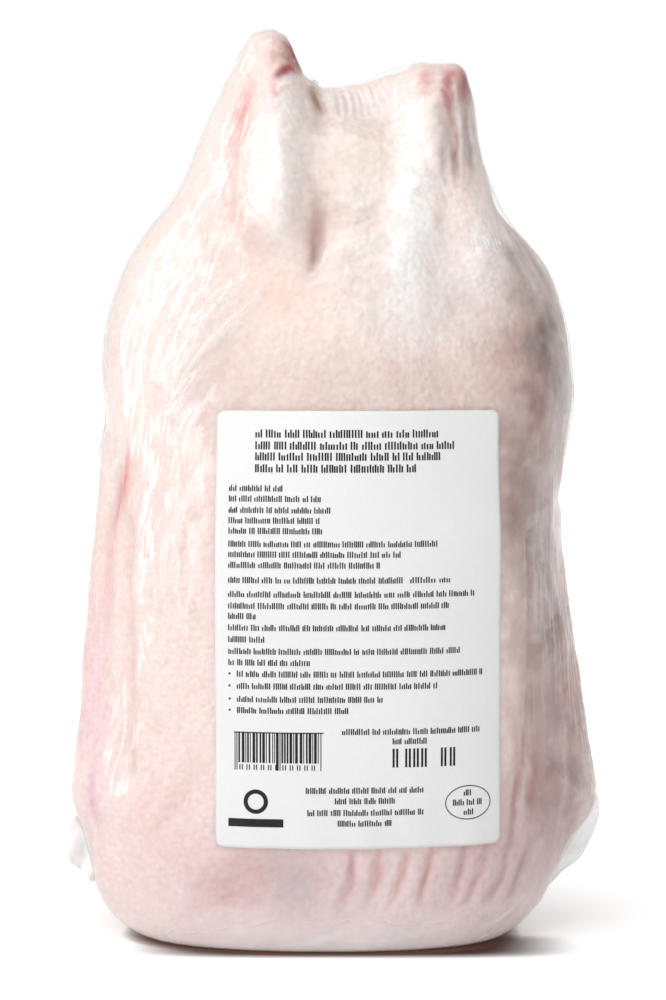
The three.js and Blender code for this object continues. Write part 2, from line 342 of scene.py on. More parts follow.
# how far the bag stands off the bird
bagHollow = (filmLengths - skinLengths - filmForm["gap"]) * (1 - shrunk)
filmLengths = skinLengths + filmForm["gap"] + bagHollow
for centre, radii in filmForm["filledOut"]:
    bagHollow = bagHollow * (1 - np.exp(-awayFrom(roughPlace, centre, radii) ** 2))
skinLengths = filmLengths - filmForm["gap"] - bagHollow

smoothFilm = origins + filmLengths[..., None] * directions


def surfaceNormals(points):
    # unit cross product of the steps to the neighbours along a row and up a column
    alongRow = np.roll(points, -1, 1) - np.roll(points, 1, 1)
    up = np.gradient(points, axis=0)
    normals = np.cross(alongRow, up)
    normals[0], normals[-1] = normals[1:4].mean((0, 1)), normals[-4:-1].mean((0, 1))
    return normals / np.maximum(np.linalg.norm(normals, axis=-1, keepdims=True), 1e-9)


outward = surfaceNormals(smoothFilm)
# how much a point looks to each side, 0 to 1
facing = {
    "front": smoothStep(0.05, 0.45, -outward[..., 1]),
    "back": smoothStep(0.05, 0.45, outward[..., 1]),
    "left": smoothStep(0.25, 0.6, -outward[..., 0]),
    "right": smoothStep(0.25, 0.6, outward[..., 0]),
}

forward = smoothStep(-0.1, 0.15, -outward[..., 1])                # the whole half that the breast is on

# the frame's own place: the solids' box has its middle over the origin
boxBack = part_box("wrapped_duck")[1][1] / mm
toFrame = np.array([filmForm["sideShift"], boxBack - smoothFilm[..., 1].max(), 0.0])


# each fan of folds runs from a first line to a last one: side, lines, how many, half width, height,
# unevenness, bow. positions are (across, up): across is x on the front and back, y on the sides
filmFolds = {
    "legWeb": ("front", ((-1, 308), (2, 296)), ((17, 312), (24, 300)), 8, 1.0, 0.5, 0.6, 0.05),
    "shoulderSweep": ("front", ((-48, 203), (-60, 180)), ((-20, 244), (-50, 214)), 6, 1.9, 0.9, 4, -0.09),
    "leftFlank": ("front", ((-68, 236), (-76, 190)), ((-56, 240), (-66, 196)), 4, 1.5, 0.6, 4, -0.03),
    "leftWaist": ("front", ((-74, 196), (-79, 160)), ((-68, 196), (-74, 164)), 2, 2.0, 0.9, 2, 0),
    "labelSide": ("front", ((-58, 168), (-68, 116)), ((-49, 160), (-60, 108)), 4, 1.8, 0.5, 4, 0.03),
    "rightThigh": ("front", ((50, 290), (60, 252)), ((58, 270), (78, 222)), 6, 1.3, 0.6, 3, 0.04),
    "rightFlank": ("front", ((66, 238), (82, 196)), ((76, 214), (84, 176)), 5, 1.4, 0.6, 3, 0.03),
    "rightWaist": ("front", ((68, 186), (68, 150)), ((80, 186), (80, 128)), 6, 1.6, 0.7, 3, -0.04),
    "rightWing": ("front", ((66, 148), (76, 76)), ((84, 140), (90, 60)), 5, 1.6, 0.6, 4, 0.02),
    "leftWing": ("front", ((-82, 140), (-88, 66)), ((-70, 110), (-78, 48)), 4, 1.7, 0.5, 4, 0),
    "lowLeft": ("front", ((-20, 38), (-60, 16)), ((-54, 44), (-76, 22)), 5, 1.8, 0.4, 4, 0.1),
    "leftSide": ("left", ((-22, 236), (-10, 170)), ((26, 240), (20, 150)), 7, 1.6, 0.8, 5, 0),
    "leftSideLow": ("left", ((-22, 120), (-8, 30)), ((26, 130), (16, 30)), 7, 1.7, 0.7, 5, 0),
    "rightSide": ("right", ((-22, 236), (-12, 170)), ((26, 240), (20, 150)), 7, 1.6, 0.8, 5, 0),
    "rightSideLow": ("right", ((-22, 120), (-8, 30)), ((26, 130), (16, 30)), 7, 1.7, 0.7, 5, 0),
    "backUpper": ("back", ((-60, 262), (-20, 200)), ((60, 262), (24, 196)), 10, 1.8, 0.8, 5, 0),
    "backLower": ("back", ((-62, 96), (-40, 24)), ((62, 96), (44, 24)), 12, 1.9, 0.9, 5, 0),
}
# the long folds that catch the light: points (across, up), half width, height
filmStreaks = {
    "shoulderLong": ([(-20.6, 238.6), (-27.3, 230.5), (-41.4, 218.5), (-51.7, 204.3), (-58.8, 191),
                      (-62.7, 182)], 1.2, 0.9),
    "labelEdge": ([(-41.8, 196.6), (-45.7, 191.6), (-50.3, 185.6), (-54, 176)], 1.1, 0.8),
    "flankLow": ([(-57, 147.4), (-63.4, 138.2), (-66.9, 127.6)], 1.5, 0.7),
    "stumpEdge": ([(-34, 301), (-37.6, 293), (-38.6, 286), (-36.6, 275)], 0.8, 0.9),
    "stumpHook": ([(-43, 279.5), (-40, 278), (-37.5, 275.5)], 0.8, 0.6),
    "rightEdge": ([(48, 296), (51, 284), (57, 270), (66, 254)], 1.2, 0.8),
    "rightEdgeLow": ([(56, 262), (66, 247), (76, 228), (79, 212)], 1.1, 0.5),
    "rightWing": ([(74, 150), (80, 132), (85, 112), (87, 92)], 1.0, 0.8),
    "rightWingInner": ([(71, 144), (77, 128), (81, 110)], 0.9, 0.6),
    "besideLabelHigh": ([(67, 141), (64, 130), (61, 119)], 0.9, 0.5),
    "besideLabelLow": ([(70, 146), (73, 134), (72, 122), (76, 110)], 0.9, 0.5),
    "rightPleat": ([(67, 78), (64, 64), (61.5, 48), (62.5, 36)], 1.0, 0.6),
    "rightPleatOuter": ([(71, 78), (69, 62), (67, 46), (66, 34)], 1.0, 0.6),
    "rightPleatEdge": ([(82, 92), (84, 72), (84, 52), (80, 36)], 1.1, 0.5),
    "patchLeft": ([(-66, 113), (-62, 105), (-61, 98)], 1.1, 0.5),
    "patchMiddle": ([(-58, 115), (-59, 106), (-60, 97)], 1.3, 0.6),
    "patchRight": ([(-54, 112), (-53, 106), (-51, 100)], 1.1, 0.5),
    "sideHigh": ([(-64, 153), (-62, 145), (-59, 138)], 1.4, 0.5),
    "sideHighInner": ([(-57, 150), (-56, 143), (-57, 136)], 1.1, 0.4),
    "footFoldLeft": ([(-24, 2), (-9, 4), (2, 8), (12, 11)], 1.5, 0.5),
    "footFoldRight": ([(2, 2), (16, 4), (30, 8), (46, 12)], 1.5, 0.5),
    "footFoldOuter": ([(44, 6), (58, 10), (68, 17), (75, 27)], 1.6, 0.5),
}
# sheaves of fine folds that run side by side: points (across, up), how many, spacing, half width, height
filmSheaves = {
    "shoulderBroad": ([(-43, 252), (-47, 241), (-53.5, 233), (-59, 223), (-62.7, 211), (-64.2, 198)],
                      6, 2.3, 0.95, 0.7),
    "shoulderShort": ([(-40, 236), (-47.5, 227), (-55, 216), (-60, 204), (-62, 192)], 4, 2.4, 0.95, 0.55),
    "shoulderLong": ([(-24, 232), (-40, 216), (-50, 202), (-57, 189), (-61, 178)], 3, 2.8, 0.9, 0.5),
    "shoulderOuter": ([(-50, 262), (-59, 251), (-66.4, 238), (-70, 226), (-72, 212)], 4, 2.6, 1.0, 0.4),
    "aboveLabel": ([(-41, 206), (-49, 196.6), (-54.6, 187), (-58, 176)], 4, 2.5, 1.1, 0.8),
    "leftFlank": ([(-69, 222), (-72, 208), (-74.5, 192), (-76.5, 174)], 3, 2.6, 1.0, 0.6),
    "rightBand": ([(73, 232), (80, 214), (82.4, 198), (80, 182), (76.4, 166)], 4, 2.3, 0.95, 0.5),
    "rightWaist": ([(82, 180), (77, 163), (78, 147), (82, 131), (86, 112)], 4, 2.3, 0.95, 0.5),
}
# two short rows of nicks where the film was gripped, standing ridges
filmPinches = {
    "hatchLeft": ("front", ((-45, 255), (-44.4, 251.8)), ((-36, 255.5), (-35.4, 252.3)), 8, 0.3, 0.3, 0.2, 0),
    "hatchRight": ("front", ((46, 252.5), (46.8, 249.3)), ((60, 253), (60.8, 249.8)), 10, 0.3, 0.3, 0.2, 0),
}
skinFolds = {
    "lowLeftPleats": ("front", ((-14, 38), (-50, 24)), ((-24, 18), (-56, 10)), 5, 2.2, -1.0, 2, -0.12),
    "leftWrinkles": ("front", ((-44, 70), (-62, 44)), ((-70, 60), (-78, 36)), 5, 1.6, -0.5, 4, 0.06),
    "rightPleats": ("front", ((60, 96), (66, 44)), ((74, 92), (80, 44)), 4, 2.2, -1.2, 2.5, 0.02),
    "rightValleys": ("front", ((72, 214), (72, 178)), ((80, 208), (79, 176)), 3, 2.0, -1.6, 3, 0.02),
    "wingCrease": ("front", ((-75.5, 176), (-79, 160)), ((-78.5, 162), (-82.5, 146)), 2, 1.4, -1.8, 0.4, 0),
    "rightLeg": ("front", ((52, 292), (62, 258)), ((58, 276), (76, 236)), 4, 1.6, -0.8, 2, 0.03),
    "rightShoulder": ("front", ((40, 236), (62, 196)), ((58, 236), (72, 200)), 4, 3.2, -0.6, 4, 0.06),
    "drumstickWrinkles": ("front", ((24, 286), (37, 283)), ((24, 268), (38, 266)), 6, 1.0, -0.4, 1, 0.05),
    "breastLeft": ("front", ((-30, 222), (-58, 200)), ((-24, 214), (-50, 186)), 3, 2.6, -0.4, 3, -0.08),
    "webPleats": ("front", ((0.5, 307), (2, 296)), ((18, 312), (25, 300)), 8, 1.0, -0.8, 0.6, 0.04),
}
# broad forms and single creases of the skin: points (across, up) on the front, half width, height
skinForms = {
    "leftDrumstick": ([(-20, 292), (-17, 272), (-14, 257), (-10, 247)], 8, 1.2),
    "leftDrumstickEdge": ([(-31, 278), (-28, 264), (-23, 251), (-17, 243)], 3, -0.9),
    "pocket": ([(-3.5, 270), (-5, 258), (-5.6, 247), (-8.5, 239.5)], 2.6, -4.5),
    "webRoot": ([(-7, 308), (-4.5, 303), (-2.8, 299), (-3.2, 294)], 2.2, -1.9),
    "bellyArc": ([(-3, 243), (4, 249), (12, 252), (22, 252)], 2.4, 1.0),
    "bellyArcLow": ([(1, 240), (8, 245), (16, 248)], 2.4, -0.5),
    "bellyHollow": ([(1, 283), (9, 281), (17, 284)], 6, -1.2),
    "bellyFold": ([(4, 256), (12, 258), (19, 264)], 2.2, -0.6),
    "rightDrumstick": ([(28, 296), (28, 272), (25, 250), (19, 230)], 7, 1.2),
    "rightDrumstickEdge": ([(41, 268), (41, 247), (36, 229)], 4, -0.9),
    "rightThigh": ([(52, 266), (55, 248), (52, 228)], 6, 0.7),
    "shoulderFold": ([(-20, 239), (-25, 231), (-34, 223)], 2.2, -0.6),
    "stumpCrease": ([(-10.8, 314.2), (-14.6, 312.4), (-17.4, 311.2), (-19.6, 309.2)], 1.2, -0.9),
    "stumpLip": ([(-10.6, 311.2), (-15, 309.6), (-18.5, 305)], 1.3, 0.8),
    "stumpRidge": ([(-11.8, 315), (-16, 314.6), (-21, 312.5)], 0.9, 0.7),
    "stumpCreaseMiddle": ([(-12.4, 315.2), (-14.6, 317), (-17, 317.6), (-20.5, 316.4)], 1.0, -1.2),
    "stumpCreaseHigh": ([(-13.4, 319.8), (-17, 319.4), (-21, 317.2)], 0.7, -0.9),
    "stumpPale": ([(-28, 322), (-33, 312), (-36, 300)], 2.5, 0.5),
    "shankHollow": ([(-27, 309), (-30.5, 301), (-32, 288)], 2.6, -1.0),
    "shankRidge": ([(-31.5, 311), (-35.5, 301), (-37.5, 290)], 1.4, 0.7),
    "stumpTopLine": ([(36.4, 313.6), (35, 308), (34, 302)], 0.7, -0.9),
    "stumpTopCleft": ([(44.4, 313), (41.6, 308), (40.6, 302)], 0.9, -1.4),
    "stumpTopRight": ([(47.4, 310), (47, 305), (45.8, 300)], 0.9, -1.1),
    "shinGroove": ([(42.4, 303), (43.3, 291), (44.6, 279), (45.2, 272)], 1.0, -1.6),
    "shinRidge": ([(45.6, 302), (45.8, 290), (47, 277)], 1.0, 0.6),
    "shinGrooveRight": ([(48.6, 303), (48.2, 294), (49, 284), (51.4, 274)], 0.9, -1.4),
    "shinRidgeRight": ([(50, 300), (50.6, 288), (54, 276)], 0.8, 0.4),
    "pleatA": ([(8.6, 42), (7, 30), (3, 17)], 1.9, -1.3),
    "pleatB": ([(17.5, 42), (15.8, 30), (12, 18)], 2.0, -1.3),
    "pleatC": ([(27.5, 42), (24.8, 29), (21.5, 18)], 1.7, -1.2),
    "pleatD": ([(35.8, 42), (34, 30), (31, 17)], 1.6, -1.4),
    "pleatE": ([(47.5, 42), (46, 30), (42, 18)], 1.7, -1.1),
    "pleatF": ([(55, 40), (52, 28), (47, 16)], 1.6, -1.0),
    "pleatG": ([(64, 40), (60, 28), (54, 16)], 1.7, -1.1),
    "pleatH": ([(71, 40), (68, 28), (61, 16)], 1.7, -1.1),
    "sidePleatA": ([(69, 78), (66.5, 62), (64, 46), (63.5, 36)], 1.4, -1.2),
    "sidePleatB": ([(74, 82), (72.5, 64), (71, 46)], 1.6, -1.2),
    "sidePleatC": ([(79, 86), (78, 66), (76.5, 48)], 1.6, -1.0),
    "arcA": ([(-48, 30), (-36, 24), (-22, 27)], 1.6, -0.7),
    "arcB": ([(-44, 24), (-32, 18), (-16, 21)], 1.7, -0.8),
    "arcC": ([(-30, 35), (-22, 31), (-14, 34)], 1.4, -0.6),
    "shinGrooveLeft": ([(39.8, 287), (40.6, 278), (42.6, 270)], 1.2, -0.8),
}
foldShape = {"points": 9, "wander": 0.03}
# streaks rise by this share of their height, with ends drawn out
streakForm = {"point": 1.2, "rise": 0.55}


def foldLines(first, last, count, uneven, bow, rng):
    # count lines spread evenly between the first and the last, each bowed and shaken a little
    share = (np.arange(count) + 0.5) / count if count > 1 else np.array([0.5])
    first, last = np.array(first, float), np.array(last, float)
    ends = first[None] + share[:, None, None] * (last - first)[None]
    ends = ends + rng.uniform(-1, 1, ends.shape) * uneven * np.array([0.35, 1.0])
    along = np.linspace(0, 1, foldShape["points"])[None, :, None]
    lines = ends[:, :1] * (1 - along) + ends[:, 1:] * along
    way = ends[:, 1] - ends[:, 0]
    across = np.stack([-way[:, 1], way[:, 0]], -1)[:, None, :]
    bend = bow * rng.uniform(0.6, 1.4, (count, 1, 1))
    bend = bend + foldShape["wander"] * rng.uniform(-1, 1, (count, 1, 1))
    wobble = rng.uniform(-1, 1, (count, 1, 1)) * foldShape["wander"] * np.sin(3 * pi * along)
    return lines + across * (bend * np.sin(pi * along) + wobble)


def layFold(total, flat, line, width, height, cover, point=0.6):
    # lays height * exp(-(distance / width) ** 1.7) * taper along the line, where that is more than what is
    # there; the taper is sin(pi * place) ** point, so a larger point draws the ends out finer
    low, high = line.min(0) - 4 * width, line.max(0) + 4 * width
    near = ((flat > low) & (flat < high)).all(-1) & (cover > 0)
    if not near.any():
        return
    spots = flat[near]
    best, place = np.full(len(spots), 1e9), np.zeros(len(spots))
    for part in range(len(line) - 1):
        a, b = line[part], line[part + 1] - line[part]
        t = np.clip(((spots - a) @ b) / max(b @ b, 1e-9), 0, 1)
        distance = np.linalg.norm(spots - a - t[:, None] * b, axis=-1)
        closer = distance < best
        best, place = np.where(closer, distance, best), np.where(closer, (part + t) / (len(line) - 1), place)
    taper = np.sin(pi * np.clip(place, 0.02, 0.98)) ** point
    fold = height * np.exp(-(best / width) ** 1.7) * taper * cover[near]
    old = total[near]
    total[near] = np.where(np.abs(fold) > np.abs(old), fold, old)


def foldField(folds, points, seed):
    # all the lines of every fan, each a little different in size
    rng = np.random.default_rng(seed)
    total = np.zeros(points.shape[:2])
    for side, first, last, count, width, height, uneven, bow in folds.values():
        flat = points[..., [0, 2]] if side in ("front", "back") else points[..., [1, 2]]
        for line in foldLines(first, last, count, uneven, bow, rng):
            size = rng.uniform(0.55, 1.15)
            layFold(total, flat, line, width * (0.6 + 0.5 * size), height * size, facing[side])
    return total


def smoothLine(points, count=24):
    # a soft curve through hand-set points, linear between them and then evened out
    points = np.array(points, float)
    fine = np.linspace(0, len(points) - 1, count)
    line = np.stack([np.interp(fine, np.arange(len(points)), points[:, i]) for i in (0, 1)], -1)
    for _ in range(6):
        line[1:-1] = (line[:-2] + 2 * line[1:-1] + line[2:]) / 4
    return line


def sheafLines(points, count, spacing, rng):
    # count copies of the path, side by side, each starting and ending at another place along it
    line = smoothLine(points, 36)
    way = np.gradient(line, axis=0)
    across = way[:, ::-1] * np.array([1.0, -1.0]) / np.linalg.norm(way, axis=1, keepdims=True)
    for index in range(count):
        shift = (index - (count - 1) / 2 + rng.uniform(-0.25, 0.25)) * spacing
        start, end = rng.integers(0, 12), rng.integers(26, 37)
        yield (line + across * shift)[start:end]


labelForm = {
    "width": 101.6, "height": 152.4, "corner": 3.0, "centre": (10.4, 116.3),
    "thickness": 0.15, "clearance": 0.55, "columns": 81, "rows": 121,
    # stretch of the bag's front that is sampled for it, and how far its arcs are followed from its centre
    "from": -75, "to": 80, "walkUp": 90, "walkAcross": 62,
    # slow ripples of the paper, the strongest at its lower edge, where the pleats push it
    "ripple": 0.18, "lowRipple": 0.22, "bow": 0.12,
}

reliefForm = {
    # soft lumps of the skin and fine crumple of the film: wavelength, height, seed, waves, stretch
    "lumps": [(24, 0.35, 11, 14, (1, 1, 1)), (9, 0.16, 12, 14, (1, 1, 1.6)), (4.5, 0.07, 13, 20, (1, 1, 1))],
    "crumple": [(6.5, 0.035, 21, 20, (1, 1, 2.8)), (3, 0.02, 22, 20, (1, 1, 2.5))],
    # where the web meets the stump both lie smooth: centre, radii, share
    "calm": ((26, 304), (6, 6), 0.85),
    "foot": 6, "footShare": 0.3,                # the film lies flatter below this height
    "underLabel": 0.2,                          # how far the label presses the skin in
    "spanned": 0.8,                             # the film spans creases deeper than about this
    "followed": 0.9,                            # share of the skin's relief that the film takes on
    "pressed": 0.15,                            # how much of its gap to the skin the film may lose
}

print("folds")
labelCentre = np.array(labelForm["centre"])
overLabel = np.maximum(np.abs(smoothFilm[..., 0] - labelCentre[0]) - labelForm["width"] / 2,
                       np.abs(smoothFilm[..., 2] - labelCentre[1]) - labelForm["height"] / 2)
# 0 under the label, 1 clear of it; and 0 on the table, 1 above the foot
offLabel = np.where(directions[..., 1] < 0, smoothStep(-1.0, 3.0, overLabel), 1.0)
aboveFoot = smoothStep(0, reliefForm["foot"], smoothFilm[..., 2])

skinDents = foldField(skinFolds, smoothFilm, 5)
skinRelief = skinDents.copy()
for path, width, height in skinForms.values():
    form = np.zeros(fineShape)
    layFold(form, smoothFilm[..., [0, 2]], smoothLine(path), width, height, forward)
    skinRelief += form
lumps = layeredWaves(smoothFilm, reliefForm["lumps"])
skinShift = (skinRelief + lumps * aboveFoot) * offLabel - reliefForm["underLabel"] * (1 - offLabel)
filmFolded = foldField(filmFolds, smoothFilm, 7)
streaks = np.zeros(fineShape)
for path, width, height in filmStreaks.values():
    layFold(streaks, smoothFilm[..., [0, 2]], smoothLine(path), width, height, forward, streakForm["point"])
sheafDraw = np.random.default_rng(8)
for path, count, spacing, width, height in filmSheaves.values():
    for line in sheafLines(path, count, spacing, sheafDraw):
        tall = height * sheafDraw.uniform(0.6, 1.1)
        layFold(streaks, smoothFilm[..., [0, 2]], line, width, tall, forward, streakForm["point"])
streaks *= offLabel
rise = streakForm["rise"] * streaks
filmFolded = np.where(rise > np.abs(filmFolded), rise, filmFolded * aboveFoot) * offLabel
fineCrumple = layeredWaves(smoothFilm, reliefForm["crumple"])
calmCentre, calmRadii, calmShare = reliefForm["calm"]
calm = 1 - calmShare * np.exp(-awayFrom(smoothFilm[..., [0, 2]], calmCentre, calmRadii)) * forward
skinShift, filmFolded, fineCrumple = skinShift * calm, filmFolded * calm, fineCrumple * calm
# the bag follows the skin, but spans its deeper creases unless it is shrunk on there
deepest = reliefForm["spanned"]
spanned = np.where(skinShift < 0, -deepest * (1 - np.exp(skinShift / deepest)), skinShift)
followed = reliefForm["followed"] * (spanned * (1 - shrunk) + skinShift * shrunk)
overFoot = reliefForm["footShare"] + (1 - reliefForm["footShare"]) * aboveFoot
filmShift = filmFolded + (followed + fineCrumple * offLabel) * overFoot

skinPoints = origins + skinLengths[..., None] * directions + skinShift[..., None] * outward
filmShift = np.maximum(filmShift, skinShift - bagHollow - reliefForm["pressed"])
filmPoints = smoothFilm + filmShift[..., None] * outward
# neither goes below the table, and the film stays outside
filmPoints[..., 2] = np.maximum(filmPoints[..., 2], 0.0)
skinPoints[..., 2] = np.maximum(skinPoints[..., 2], 0.4)


def closedSkin(points):
    # grid with one vertex at each pole, and its faces
    rows, columns = points.shape[:2]
    ring = points[1:-1].reshape(-1, 3)
    vertices = np.concatenate([ring, points[:1].mean(1), points[-1:].mean(1)])
    quads = gridFaces(rows - 2, columns, True)
    column = np.arange(columns)
    following = (column + 1) % columns
    foot, crown, top = len(ring), len(ring) + 1, (rows - 3) * columns
    low = np.stack([np.full(columns, foot), following, column], -1)
    high = np.stack([np.full(columns, crown), top + column, top + following], -1)
    return vertices, quads.tolist() + low.tolist() + high.tolist()


def perVertex(values):
    # a grid's values in the order of closedSkin's vertices, with the means of both ends last
    ring = values[1:-1].reshape((-1,) + values.shape[2:])
    return np.concatenate([ring, values[:1].mean(1), values[-1:].mean(1)])


